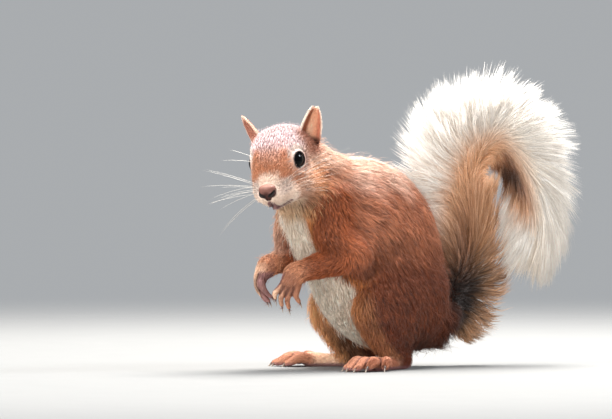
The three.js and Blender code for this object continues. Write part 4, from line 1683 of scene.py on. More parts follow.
@dataclass
class Tufts:
    """Tufts in the making: what spikes() takes for each, with colours and places on the map.

    Attributes:
        tints: linear colours at the points of each path
        uv: place of each root on the map
    """

    LIMIT = 198_000  # triangles in one piece

    path: Array
    across: Array
    ridge: Array
    width: Array
    taper: Row
    tints: Array
    uv: Array

    def pieces(self, name: str, slot: str, order: Array) -> Iterator[Piece]:
        """Makes numbered pieces that keep to the limit, with the tufts in the order given.

        Args:
            name: first part of their names
            slot: the record's slot
            order: numbers of the tufts

        Returns:
            The pieces, one after another.
        """
        steps = len(self.taper) + 1
        limit = self.LIMIT // (6 * steps - 8)
        for number, start in enumerate(range(0, len(order), limit)):
            part = order[start : start + limit]
            rows = (self.path, self.across, self.ridge, self.width)
            points, faces = spikes(*(row[part] for row in rows), self.taper)
            tints = np.repeat(self.tints[part], [*[3] * (steps - 1), 1], axis=1).reshape(-1, 3)
            uv = self.patches(self.uv[part], steps)
            yield Piece(f"{name}_{number + 1}", points, faces, slot, tints, uv)

    @staticmethod
    def patches(uv: Array, steps: int) -> Array:
        """Places on the map for each point of spikes, in a small patch at each root's place.

        Args:
            uv: place of each root on the map
            steps: points along a tuft

        Returns:
            A place on the map for each point.
        """
        span = np.maximum(np.ptp(uv, axis=0), 1e-6)
        spread = 0.004 + (uv - uv.min(0)) / span * 0.992
        rows = []
        for i in range(steps - 1):
            v = i / (steps - 1) - 0.5
            rows += [(-0.5, v), (0.5, v), (0.08, v + 0.14)]
        rows.append((0.0, 0.5))
        return (spread[:, None] + np.array(rows) * PATCH).reshape(-1, 2)


@dataclass(frozen=True)
class Pelage:
    """How the hair of some regions grows, in millimetres.

    Attributes:
        name: name of its pieces
        regions: where it grows
        spacing: between roots
        length: shortest and longest tuft
        width: half width of a tuft
        height: shares of the coat's depth between which the tips end
        clump: width of a clump of tufts
        gather: how far tips are drawn to the middle of their clump
        wander: how unevenly it lies
        contrast: how much tufts differ in brightness
        root_shade: brightness at the root, a painted shade deep in the coat
        tip_shade: brightness at the tip, a painted highlight
        stray: how far the tips of single hairs stand off the coat
    """

    name: str
    regions: tuple[Region, ...]
    spacing: float
    length: Row
    width: float
    height: Row = (0.5, 1.0)
    clump: float = 3.2
    gather: float = 0.45
    wander: float = 0.22
    contrast: float = 0.2
    root_shade: float = 0.5
    tip_shade: float = 1.1
    stray: float = 0.0


class Coat:
    """The hair over the whole animal apart from its tail."""

    FIRST_SEED = 100
    QUICK_SPACING = 1.6
    ROOT_DEPTH = 0.25  # how far the roots are set under the skin
    GROUND = 0.3  # no tuft comes nearer to the floor
    BODY = (Region.TRUNK, Region.NECK, Region.THIGH)
    PELAGES = (
        Pelage("coat_under", BODY, 1.40, (7.0, 10.5), 0.75, (0.35, 0.75), clump=4.0, root_shade=0.6),
        Pelage("coat_guard", BODY, 0.80, (9.0, 14.0), 0.27, (0.6, 1.1), clump=2.6, gather=0.60, contrast=0.38,
               wander=0.15, root_shade=0.58, tip_shade=1.18),
        Pelage("coat_stray", (*BODY, Region.ARM), 2.6, (8.0, 13.0), 0.12, (1.0, 1.3), gather=0.1, wander=0.6,
               contrast=0.15, root_shade=0.8, tip_shade=1.12, stray=3.0),
        Pelage("coat_limbs", (Region.ARM, Region.SHANK), 0.72, (4.0, 7.5), 0.24, (0.5, 1.1), clump=2.0,
               gather=0.5, contrast=0.28, wander=0.16, root_shade=0.76, tip_shade=1.15),
        Pelage("coat_head", (Region.HEAD,), 0.56, (2.8, 5.2), 0.17, (0.5, 1.1), clump=1.3, gather=0.5,
               contrast=0.15, wander=0.14, root_shade=0.84, tip_shade=1.04),
        Pelage("coat_face", (Region.HEAD,), 1.9, (4.5, 7.5), 0.08, (1.0, 1.4), gather=0.1, wander=0.4,
               root_shade=0.9, tip_shade=1.08, stray=1.4),
        Pelage("coat_extremes", (Region.HAND, Region.FOOT), 0.62, (2.2, 3.6), 0.13, (0.6, 1.3), clump=1.2,
               gather=0.4, contrast=0.24, wander=0.14, root_shade=0.86, tip_shade=1.1),
        Pelage("coat_ears", (Region.EAR,), 0.60, (1.1, 2.0), 0.12, (0.4, 0.9), clump=1.0, gather=0.2,
               root_shade=0.85),
    )

    def __init__(self, plan: BodyPlan, markings: Markings, skin: Skin) -> None:
        """Keeps what the hair grows from."""
        self.plan, self.markings, self.skin = plan, markings, skin

    def build(self, placing: Placing) -> list[Object]:
        """Makes every piece of the coat.

        Args:
            placing: moves pieces to the row frame

        Returns:
            The pieces.
        """
        material = FurFinish("fur").material()
        made = []
        for number, pelage in enumerate(self.PELAGES):
            tufts = self.grow(pelage, self.FIRST_SEED + number * 10)
            pieces = tufts.pieces(pelage.name, "coat", np.arange(len(tufts.path)))
            made += [piece.build(placing, material) for piece in pieces]
        return made

    def sparse(self, roots: Roots) -> Array:
        """Tells where hair may grow: not on lids, lips, nose or pads.

        Args:
            roots: where tufts could grow

        Returns:
            True for the roots to keep.
        """
        place = roots.place
        keep = place[:, 2] > 1.4
        keep &= ~((roots.region == Region.HAND.value) & (roots.normal[:, 2] < -0.2) & (place[:, 2] < 45))
        for s in SIDES.values():
            local = self.plan.eye.local(place, s)
            across = self.plan.eye.rim(local)[0]
            keep &= ~((local[:, 0] > -1.0) & (across < 0.75))
            keep &= self.plan.lips(s, 1.0).distance(place) > 0.2
        keep &= self.plan.nose.distance(place) > 0.45
        return keep

    def direction(self, roots: Roots, pelage: Pelage, seed: int) -> Array:
        """Which way the hair lies, along the skin.

        Args:
            roots: where the tufts grow
            pelage: how the hair grows
            seed: picks the draws

        Returns:
            A direction for each tuft.
        """
        swirl = np.stack([ripple(roots.place, 24, seed + k) for k in range(3)], 1)
        way = unit(roots.way + swirl * pelage.wander * 0.4)
        rng = np.random.default_rng(seed)
        way = way + rng.normal(size=way.shape) * pelage.wander * 0.5
        if Region.HEAD in pelage.regions:
            for s in SIDES.values():
                local = self.plan.eye.local(roots.place, s)
                radial = local * (0, 1, 1)
                away = unit(radial @ self.plan.eye.axes(s))
                share = smooth(9.5, 5.5, np.hypot(radial[:, 1], radial[:, 2])) * (local[:, 0] > -3)
                way = mix(way, away, share * 0.85)
        return unit(way - roots.normal * np.einsum("ij,ij->i", way, roots.normal)[:, None])

    def grow(self, pelage: Pelage, seed: int) -> Tufts:
        """Makes the tufts of one pelage.

        Args:
            pelage: how the hair grows
            seed: picks the draws

        Returns:
            The tufts.
        """
        spacing = pelage.spacing * 1.0
        roots = self.skin.roots(spacing, seed, pelage.regions)
        roots = roots.kept(self.sparse(roots))
        place, normal, count = roots.place, roots.normal, len(roots.place)
        rng = np.random.default_rng(seed + 1)
        way = self.direction(roots, pelage, seed)
        size = rng.uniform(*pelage.length, count) * self.trim(roots, pelage)
        height = roots.coat * rng.uniform(*pelage.height, count)
        height += pelage.stray * rng.uniform(0, 1, count) ** 2
        way, longer, higher = self.shaggy(roots, way, pelage)
        size, height = size * longer, height * higher
        tip, guide = self.gathered(place, place + way * size[:, None], pelage, rng)
        middle = place + (tip - place) * 0.5
        if Region.EAR in pelage.regions:
            middle, tip = middle + normal * height[:, None] * 0.8, tip + normal * height[:, None]
        else:
            middle, tip = self.lifted(middle, normal, height * 0.8), self.lifted(tip, normal, height)
        for row in (middle, tip):
            row[:, 2] = np.maximum(row[:, 2], self.GROUND)
        base = place - normal * self.ROOT_DEPTH
        across = unit(np.cross(normal, tip - base))
        ridge = unit(np.cross(unit(tip - base), across)) * -1
        ridge *= np.sign(np.einsum("ij,ij->i", ridge, normal))[:, None]
        width = pelage.width * rng.uniform(0.7, 1.25, count)
        tints = self.tints(roots, place + way * (size * 0.5)[:, None], guide, pelage, seed, rng)
        return Tufts(np.stack([base, middle, tip], 1), across, ridge, width, (1.0, 0.8), tints, roots.uv)

    def shaggy(self, roots: Roots, way: Array, pelage: Pelage) -> tuple[Array, Array, Array]:
        """Where the hair hangs, stands or grows longer: at rump, elbows, shins, nape and crown.

        Args:
            roots: where the tufts grow
            way: direction of each
            pelage: how the hair grows

        Returns:
            The new directions, and the factors of length and of height.
        """
        place, region = roots.place, roots.region
        rump = smooth(12, 30, place[:, 0]) * smooth(46, 28, place[:, 2]) * (Region.TRUNK in pelage.regions)
        way = unit(way + rump[:, None] * np.array([0.1, 0.0, -0.6]))
        elbow = smooth(-38, -26, place[:, 0]) * (region == Region.ARM.value)
        way = unit(way + elbow[:, None] * np.array([1.3, 0.0, -0.5]))
        lit_shin = self.markings.lit_shin(place) * np.isin(region, (Region.THIGH.value, Region.SHANK.value))
        crown = smooth(8, 14, HEAD.into(place)[:, 2]) * (Region.HEAD in pelage.regions)
        nape = self.markings.nape(place) * (Region.EAR not in pelage.regions)
        longer = 1 + 0.8 * rump + 0.5 * nape + elbow + 0.4 * lit_shin
        return way, longer, 1 + 0.9 * rump + 0.25 * crown + 0.9 * nape + lit_shin

    def tints(self, roots: Roots, ahead: Array, guide: Array, pelage: Pelage, seed: int,
              rng: np.random.Generator) -> Array:
        """Colours at the three points of each tuft, with painted shade at the root, less in pale hair, and a
        painted highlight at the tip.

        Args:
            roots: where the tufts grow
            ahead: places that the tips lie over
            guide: the leading tuft of each one's clump
            pelage: how the hair grows
            seed: picks the pattern of light and dark patches
            rng: source of the draws

        Returns:
            Three linear colours for each tuft.
        """
        count = len(roots.place)
        colour = self.markings.colours(roots.place, roots.region)
        step = self.markings.colours(ahead, roots.region)
        tone = 1 + rng.normal(size=count) * pelage.contrast * 0.35 + ripple(roots.place, 7, seed) * 0.08
        tone += rng.normal(size=count)[guide] * pelage.contrast * 0.55
        pale = smooth(0.35, 0.70, colour.min(1))
        tone = np.clip(1 + (tone - 1) * (1 - 0.6 * pale), 0.45, 1.5)[:, None] ** np.array([1.0, 1.2, 1.35])
        root_shade = mix(np.full((count, 1), pelage.root_shade), np.ones(1), pale * 0.65)
        deep = mix(self.skin.depth(roots.coat)[:, None], np.ones(1), pale * 0.75)
        # roots darkened as painted shade under the coat, tips brightened as painted highlight
        rows = ((colour, root_shade * deep), (colour, 0.5 * (1 + root_shade)), (step, pelage.tip_shade))
        return np.stack([np.clip(row * tone * shade, 0, 1) for row, shade in rows], 1)

    @staticmethod
    def trim(roots: Roots, pelage: Pelage) -> Array:
        """Share of the full length, shorter where the coat is thin and at the muzzle.

        Args:
            roots: where the tufts grow
            pelage: how the hair grows

        Returns:
            A share for each tuft.
        """
        if Region.HEAD in pelage.regions:
            return 0.45 + 0.55 * smooth(-6, -24, HEAD.into(roots.place)[:, 0])
        if Region.TRUNK in pelage.regions:
            return 0.55 + 0.45 * smooth(2.2, 4.4, roots.coat)
        if Region.ARM in pelage.regions:
            return 0.5 + 0.5 * smooth(0.9, 2.6, roots.coat)
        return np.ones(len(roots.place))

    @staticmethod
    def gathered(root: Array, tip: Array, pelage: Pelage, rng: np.random.Generator) -> tuple[Array, Array]:
        """Draws tips toward the tip of the tuft in the middle of their clump, and tells which that is.

        Args:
            root: roots of the tufts
            tip: their tips
            pelage: how the hair grows
            rng: source of the draws

        Returns:
            The new tips, and the leading tufts.
        """
        guide = np.unique(cells(root, pelage.clump), return_index=True)[1]
        tree = KDTree(len(guide))
        for k, place in enumerate(root[guide]):
            tree.insert(place, k)
        tree.balance()
        nearest = guide[np.array([tree.find(place)[1] for place in root])]
        pull = pelage.gather * rng.uniform(0.3, 1.2, len(root))[:, None]
        return tip + (tip[nearest] - tip) * np.clip(pull, 0, 0.9), nearest

    def lifted(self, place: Array, normal: Array, height: Array) -> Array:
        """Moves places along the normal until they are at a height over the skin.

        Args:
            place: places near the skin
            normal: normals of the skin
            height: height wanted for each

        Returns:
            The moved places.
        """
        for _ in range(2):
            place = place + normal * np.clip(height - self.plan.whole.distance(place), -4, 4)[:, None]
        return place


# ---- tail
@dataclass(frozen=True)
class Plume:
    """The long parted hair of the tail, from its core out to its outline.

    Attributes:
        outline: sections of the outline: x, y, z, half depth, half width
        locks: how many locks there are
        width: half width of a lock in millimetres
        sweep: sections between a lock's root and its tip
    """

    SEED = 7
    QUICK_SHARE = 3
    NODES = ("tail_base", "tail_rise", "tail_crown_front", "tail_crown_back", "tail_fall")
    CORE_END = (107, -5.5, 66, 1, 1, 0)  # carries the core on under the falling tip
    LAST_ROOT = 10.6  # sections along the core where the last locks are rooted
    BUNCH_ROWS = 9  # bunches along one section
    BUNCH_TURNS = 19  # bunches around the core
    PAST_END = (-1.5, -1.0, -11.0)  # the way that tips go on after the last section
    # warm, darker tint of locks that end deep inside the plume: painted shade
    INSIDE_WARM_SHADE = (0.96, 0.91, 0.85)
    WHITE_EDGE = ((3, 4.5, 5.5, 6.5, 8, 9, 10), (0.72, 0.42, 0.12, -0.02, -0.03, -0.12, -0.4))
    PARTING = 0.31  # how far inside the bend the hair parts

    outline: tuple[Row, ...] = (
        (51, 0, 20, 15, 10), (63, 0, 40, 27, 14), (61, 0, 64, 27, 16), (54, 0, 90, 29, 17),
        (47, 0, 114, 33, 17.5), (57, 0, 130, 37, 18), (80, 0, 136, 36, 18), (98, -1, 124, 34, 17.5),
        (106, -3, 104, 28, 16), (107, -4, 82, 25, 14.5), (102, -5, 64, 21, 11.5), (97, -6, 50, 16, 9),
        (94, -6, 39, 12, 6),
    )
    locks: int = 33000
    width: float = 0.23
    sweep: Row = (0.7, 1.45)

    def along(self, rows: Array, at: Array) -> Array:
        """Rows of a table at shares between them, on a smooth curve.

        Args:
            rows: the table
            at: shares between its rows

        Returns:
            A row for each share.
        """
        at = np.clip(at, 0, len(rows) - 1.001)
        i = at.astype(int)
        t = (at - i)[:, None]
        before, after = rows[np.maximum(i - 1, 0)], rows[np.minimum(i + 2, len(rows) - 1)]
        return curve(before, rows[i], rows[i + 1], after, t)

    def axes(self, rows: Array, at: Array) -> tuple[Array, Array]:
        """Directions along the tail, and out of its bend, at shares between the sections."""
        run = unit(self.along(rows, at + 0.05)[:, :3] - self.along(rows, at - 0.05)[:, :3])
        return run, unit(np.stack([-run[:, 2], np.zeros(len(run)), run[:, 0]], 1))

    def build(self, plan: BodyPlan, placing: Placing) -> list[Object]:
        """Makes the locks, in pieces.

        Args:
            plan: the body plan
            placing: moves pieces to the row frame

        Returns:
            The pieces.
        """
        # the strong glow is painted light, standing in for light passing through the tail's hair
        material = FurFinish("plume_hair", roughness=0.55, sheen=0.25, glow=0.30, streak=0.14).material()
        rng = np.random.default_rng(self.SEED)
        count = self.locks // 1
        tufts = self.grow(np.vstack([plan.TAIL_CORE[1:], self.CORE_END]).astype(float), count, rng)
        pieces = tufts.pieces("tail_locks", "plume", rng.permutation(count))
        made = [piece.build(placing, material) for piece in pieces]
        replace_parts(made[0], *self.NODES)
        return made

    def grow(self, core: Array, count: int, rng: np.random.Generator) -> Tufts:
        """Makes the locks in bunches, each lock from the core to near the outline.

        Args:
            core: sections of the tail's core
            count: how many locks
            rng: source of the draws

        Returns:
            The locks.
        """
        outline = np.array(self.outline, float)
        at = np.sort(rng.uniform(0.0, self.LAST_ROOT, count) ** 0.97)
        side = rng.random(count)
        turn = np.where(side < 0.52, 0.0, math.pi) + rng.normal(size=count) * 0.62
        turn = np.where(side > 0.82, rng.uniform(0, math.tau, count), turn)
        root, run, round_root = self.ring(core, at, turn, np.full(count, 0.85))
        outer = smooth(-0.2, 0.6, np.cos(turn))
        crown = smooth(1.8, 3.2, at) * smooth(8.6, 7.0, at)
        row = np.floor(at * self.BUNCH_ROWS)
        bunch = (row * 64 + np.floor(turn / math.tau * self.BUNCH_TURNS + row * 0.37 % 1) + 24).astype(int)
        noise = rng.normal(size=(3, bunch.max() + 1))
        base = smooth(2.2, 0.6, at)
        sweep = rng.uniform(*self.sweep, count) * (1 - 0.6 * outer * crown) * (1 - 0.75 * base)
        sweep += noise[0][bunch] * 0.10 - base * rng.uniform(0, 0.5, count)
        ahead = np.maximum(at + sweep * (1 + 0.25 * smooth(8.5, self.LAST_ROOT, at)), 0)
        reach = self.reach(at, turn, noise[1][bunch], rng)
        last = len(outline) - 1.05
        tip, run_tip, round_tip = self.ring(outline, np.minimum(ahead, last), turn, reach)
        tip = tip + np.array(self.PAST_END) * np.maximum(ahead - last, 0)[:, None]
        tip = self.clumped(bunch, tip, rng)
        gap = np.linalg.norm(tip - root, axis=1)[:, None]
        first = root + round_root * gap * 0.34 + run * gap * 0.16
        lean = (0.45 + 1.1 * outer * crown)[:, None]
        second = tip - unit(round_tip * lean + run_tip) * gap * 0.30
        steps = np.linspace(0, 1, 4)[None, :, None]
        path = (
            root[:, None] * (1 - steps) ** 3 + 3 * first[:, None] * steps * (1 - steps) ** 2
            + 3 * second[:, None] * steps**2 * (1 - steps) + tip[:, None] * steps**3
        )
        chord = unit(tip - root)
        across = unit(np.cross(chord, round_tip + rng.normal(size=(count, 3)) * 0.4))
        ridge = unit(np.cross(chord, across)) * -1
        width = self.width * rng.uniform(0.6, 1.3, count)
        tints = self.tints(core, at, ahead, path, rng)
        tints *= np.clip(1 + 0.06 * noise[2][bunch], 0.8, 1.2)[:, None, None]
        # painted warm shade on the locks that stay deep inside the plume
        inside = np.full((count, 3), self.INSIDE_WARM_SHADE)
        tints *= mix(inside, np.ones(3), smooth(0.5, 1.0, reach))[:, None]
        uv = np.stack([at / self.LAST_ROOT, turn / math.tau], 1)
        return Tufts(path, across, ridge, width, (0.7, 1.0, 0.7), tints, uv)

    @staticmethod
    def reach(at: Array, turn: Array, noise: Array, rng: np.random.Generator) -> Array:
        """How near the outline each lock ends, less at the sides and inside the tail's bend.

        Args:
            at: places along the tail, counted in sections
            turn: angle around the tail
            noise: a draw for each lock's bunch
            rng: source of the draws

        Returns:
            Shares of the way to the outline.
        """
        ragged = 1.09 + noise * (0.11 + 0.05 * smooth(6.0, 7.0, at)) - np.abs(rng.normal(size=len(at))) * 0.19
        edge = smooth(0.2, 0.8, np.abs(np.cos(turn)))
        bend = smooth(0.2, -0.5, np.cos(turn)) * smooth(3.6, 5.0, at) * smooth(8.2, 7.0, at)
        return np.clip(ragged * (0.55 + 0.45 * edge) * (1 - 0.45 * bend), 0.2, 1.22)

    def ring(self, rows: Array, at: Array, turn: Array, reach: Array) -> tuple[Array, Array, Array]:
        """Places round the tail's sections, with directions along the tail and outward.

        Args:
            rows: sections of the core or the outline
            at: places along the tail, counted in sections
            turn: angle around the tail
            reach: shares of the way to the section's edge

        Returns:
            The places and both directions.
        """
        row = self.along(rows, at)
        run, out = self.axes(rows, at)
        offset = (np.cos(turn) * row[:, 3])[:, None] * out
        offset[:, 1] += np.sin(turn) * row[:, 4]
        return row[:, :3] + offset * reach[:, None], run, unit(offset)

    @staticmethod
    def clumped(cell: Array, tip: Array, rng: np.random.Generator) -> Array:
        """Draws tips together into pointed locks.

        Args:
            cell: number of each lock's bunch
            tip: tips of the locks
            rng: source of the draws

        Returns:
            The new tips.
        """
        keys, where = np.unique(cell, return_inverse=True)
        total = np.zeros((len(keys), 3))
        np.add.at(total, where, tip)
        middle = total / np.bincount(where)[:, None]
        share = np.clip(rng.normal(0.66, 0.33, len(tip)), -0.2, 0.95)[:, None]
        loose = rng.random(len(tip))[:, None] < 0.12
        return tip + (middle[where] - tip) * np.where(loose, 0.0, share)

    def zones(self, at: Array, across: Array) -> Array:
        """Colours over the tail.

        Args:
            at: places along the tail, counted in sections
            across: places across it, from -1 inside its bend to 1 outside

        Returns:
            A linear colour for each place.
        """
        paint = Paint("tail_tan", len(at))
        edge = np.interp(at, *self.WHITE_EDGE)
        white = smooth(-0.24, 0.30, across - edge) * smooth(2.2, 4.2, at + across)
        white = np.maximum(white, smooth(-0.50, -0.76, across) * smooth(5.6, 6.8, at))
        white = np.maximum(white, smooth(8.7, 9.8, at))
        low = smooth(5.0, 2.0, at + np.abs(across - 0.1) * 2.0) * smooth(-0.75, -0.2, across)
        gap = np.abs(across + self.PARTING)
        parting = smooth(0.32, 0.08, gap) * smooth(5.9, 6.8, at) * smooth(9.2, 8.1, at)
        paint.lay("tail_brown", low * 0.85)
        paint.lay("tail_white", white)
        paint.lay("tail_brown", parting * 0.9)
        paint.lay("tail_dark", smooth(0.20, 0.04, gap) * smooth(6.7, 7.4, at) * smooth(8.5, 7.9, at) * 0.85)
        paint.lay("tail_fringe", smooth(0.0, -0.5, across) * smooth(5.4, 3.6, at) * 0.8)
        paint.lay("tail_dark", smooth(2.3, 1.1, at) * smooth(-0.75, -0.35, across))
        return paint.colours

    def tints(self, core: Array, at: Array, ahead: Array, path: Array, rng: np.random.Generator) -> Array:
        """Colours along each lock, by where in the tail it runs, darker toward the root as painted shade.

        Args:
            core: sections of the tail's core
            at: places along the tail, counted in sections
            ahead: where along the tail each tip is
            path: points of each lock
            rng: source of the draws

        Returns:
            Linear colours at the points of each lock.
        """
        outline = np.array(self.outline, float)
        tone = 1 + rng.normal(size=len(at)) * 0.09 - smooth(2.6, 1.2, at) * rng.random(len(at)) ** 2 * 0.8
        tone = np.clip(tone, 0.12, 1.3)[:, None]
        out = []
        for step, t in enumerate(np.linspace(0, 1, path.shape[1])):
            here = at + (ahead - at) * t
            centre, deep = self.along(core, here), self.along(outline, here)[:, 3]
            side = self.axes(core, here)[1]
            across = np.einsum("ij,ij->i", path[:, step] - centre[:, :3], side) / deep
            # each lock is painted darker toward its root: painted shade inside the plume
            out.append(np.clip(self.zones(here, across) * tone * (0.60 + 0.24 * t), 0, 1))
        return np.stack(out, 1)


# ---- face, claws and whiskers
@dataclass(frozen=True)
class Eyes:
    """The two eyeballs."""

    rings: int = 28
    turns: int = 48

    def build(self, plan: BodyPlan, placing: Placing) -> list[Object]:
        """Makes both eyeballs, with their poles along the line of sight.

        Args:
            plan: the body plan
            placing: moves pieces to the row frame

        Returns:
            Both eyeballs.
        """
        made = []
        material = EyeFinish().material()
        polar = np.linspace(0, math.pi, self.rings + 1)[1:-1]
        around = np.arange(self.turns) / self.turns * math.tau
        p, q = (grid.ravel() for grid in np.meshgrid(polar, around, indexing="ij"))
        ball = np.stack([np.cos(p), np.sin(p) * np.cos(q), np.sin(p) * np.sin(q)], 1)
        ball = np.vstack([ball, [[1, 0, 0], [-1, 0, 0]]])
        for tag, s in SIDES.items():
            local = ball * plan.eye.radius
            points = plan.eye.centre(s) + local @ plan.eye.axes(s)
            faces = outward(points, closed_tube(self.rings - 1, self.turns))
            paint = Paint("pupil", len(points))
            paint.lay("iris", smooth(32, 44, np.degrees(np.arccos(local[:, 0] / plan.eye.radius))))
            eyeball = Piece(f"eyeball_{tag}", points, faces, "eye", paint.colours).build(placing, material)
            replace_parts(eyeball, f"eye_{tag}")
            made.append(eyeball)
        return made


@dataclass(frozen=True)
class NosePad:
    """The bare nose as a piece of its own."""

    voxel: float = 0.22
    room: float = 7.0  # from its middle to the walls of the room that the mesher looks at

    def build(self, plan: BodyPlan, placing: Placing) -> Object:
        """Makes the pad.

        Args:
            plan: the body plan
            placing: moves pieces to the row frame

        Returns:
            The pad.
        """
        middle = HEAD.out(plan.nose.lobes[0][:3])
        mesher = Mesher(tuple(middle - self.room), tuple(middle + self.room), self.voxel)
        points, faces = mesher.surface(plan.nose.distance)
        height = HEAD.into(points)[:, 2]
        paint = Paint("nose_side", len(points))
        paint.lay("nose_low", smooth(2.6, -0.2, height))
        paint.lay("nose_top", smooth(2.8, 4.6, height) * 0.75)
        holes = fused([plan.nose.hole(s).distance(points) for s in (-1, 1)], 0.1)
        # painted shade darkens the nostril holes
        paint.lay("nostril", smooth(0.6, 0.0, holes))
        made = Piece("nose_pad", points, faces, "nose", paint.colours).build(placing, NoseFinish().material())
        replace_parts(made, "nose")
        return made


@dataclass(frozen=True)
class Claws:
    """Curved claws on every digit."""

    hand_length: float = 4.2
    foot_length: float = 4.8
    sides: int = 8
    steps: int = 7

    def build(self, plan: BodyPlan, placing: Placing) -> list[Object]:
        """Makes every claw.

        Args:
            plan: the body plan
            placing: moves pieces to the row frame

        Returns:
            The claws.
        """
        material = HornFinish("claw_horn").material()
        made = []
        for limb, digits in plan.digits.items():
            on_foot = limb.startswith("foot")
            for number, line in enumerate(digits.lines):
                root, tip = np.array(line[-2], float), np.array(line[-1], float)
                name = f"{limb}_{number + 1}"
                piece = self.claw(f"horn_{name}", root, tip, digits.radii[-1], on_foot)
                claw = piece.build(placing, material)
                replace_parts(claw, f"claw_{name}")
                made.append(claw)
        return made

    def claw(self, name: str, root: Array, tip: Array, radius: float, on_foot: bool) -> Piece:
        """One claw from inside the digit's end, deep and narrow, bent down to its point.

        Args:
            name: name of the piece
            root: last joint of the digit
            tip: end of the digit
            radius: of the digit's end
            on_foot: a toe's claw, not a finger's

        Returns:
            The claw.
        """
        way = unit(tip - root)
        length = self.foot_length if on_foot else self.hand_length
        start = tip - way * 0.4 + (0, 0, radius * 0.30)
        down = np.array([0, 0, -1.0])
        side = unit(np.cross(way, down))
        rows = []
        for i in range(self.steps):
            t = i / (self.steps - 1)
            middle = start + way * length * (t - 0.12 * t * t) + down * length * (0.06 * t + 0.42 * t**2.2)
            thick = radius * (0.62 * (1 - t) ** 0.75 + 0.05)
            if on_foot:
                middle[2] = max(middle[2], 0.12 + 0.3 * (1 - t) + thick * 0.4)  # stays off the floor
            rise = unit(np.cross(side, way + down * 0.9 * t))
            rise = rise * np.sign(rise[2] + 1e-9)
            for a in np.arange(self.sides) / self.sides * math.tau:
                rows.append(middle + side * math.cos(a) * thick * 0.62 + rise * math.sin(a) * thick)
        point = np.mean(rows[-self.sides :], axis=0) + way * 0.1
        points = np.array([*rows, start, point])
        paint = Paint("claw_root", len(points))
        paint.lay("claw_tip", smooth(0.35, 0.95, np.linalg.norm(points - start, axis=1) / length))
        faces = outward(points, closed_tube(self.steps, self.sides))
        return Piece(name, points, faces, "claw", paint.colours)


@dataclass(frozen=True)
class Whiskers:
    """Long stiff hairs of the muzzle and the brow.

    Attributes:
        radius: half width of a whisker at its root
        steps: points along each
        thinner: share of the width on the animal's left
        spots: where they grow on the muzzle, forward and up in the head's frame
    """

    SEED = 5

    radius: float = 0.19
    steps: int = 7
    thinner: float = 0.75
    spots: tuple[Row, ...] = (
        (-6.4, 0.8), (-8.4, 0.8), (-10.4, 0.8), (-6.8, -1.1), (-8.9, -1.1), (-11.0, -1.1), (-13.0, -1.1),
        (-7.2, -3.0), (-9.3, -3.0), (-11.4, -3.0), (-8.0, -5.0), (-10.0, -5.0),
    )

    def rows(self) -> Iterator[tuple[Array, Array, float]]:
        """Root, direction and length of each whisker, in the head's frame.

        Returns:
            The three for one whisker after another.
        """
        rng = np.random.default_rng(self.SEED)
        for s in SIDES.values():
            far = s > 0
            for x, z in self.spots:
                forward = 0.10 if far else -1.0
                forward += rng.normal() * 0.15
                way = np.array([forward, -s, 0.05 + (z + 1.5) * 0.14 + rng.normal() * 0.12])
                length = rng.uniform(28, 46) if far else rng.uniform(30, 48)
                yield np.array([x, -s * (5.6 + 0.42 * (-x - 6)), z]), unit(way), length
            rise = 0.0 if far else 1.2
            yield np.array([-19.0, -s * 10.5, 11.5]), unit(np.array([0.25, -s, 0.45 + rise])), 24.0
            yield np.array([-21.0, -s * 10.0, 13.0]), unit(np.array([0.15, -s, 0.75 + rise])), 20.0

    def build(self, placing: Placing) -> Object:
        """Makes all the whiskers as one piece.

        Args:
            placing: moves pieces to the row frame

        Returns:
            The whiskers.
        """
        paths = []
        for root, way, length in self.rows():
            t = np.linspace(0, 1, self.steps)[:, None]
            droop = np.array([-0.20, 0, -0.24]) * length * t**2
            paths.append(HEAD.out(root + way * (t * length - 1.2) + droop))
        path = np.array(paths)
        chord = unit(path[:, -1] - path[:, 0])
        across = unit(np.cross(chord, np.array([0, 0, 1.0])))
        ridge = np.cross(across, chord)
        ridge *= np.sign(ridge[:, 2:])
        left = HEAD.into(path[:, 0])[:, 1] > 0
        width = np.where(left, self.thinner, 1.0) * self.radius
        points, faces = spikes(path, across, ridge, width, np.linspace(1, 0.35, self.steps - 1))
        colours = Paint("whisker", len(points)).colours
        piece = Piece("whiskers", points, outward(points, faces), "coat", colours)
        return piece.build(placing, HornFinish("whisker_hair", roughness=0.4).material())


# ---- studio
@dataclass(frozen=True)
class Light:
    """A soft square light that looks at the animal.

    Attributes:
        name: its name
        way: direction from the animal: to the right, up, toward the camera
        watts: its strength
        size: its width in metres
        colour: its tint
    """

    name: str
    way: Row
    watts: float
    size: float
    colour: Row = (1.0, 1.0, 1.0)


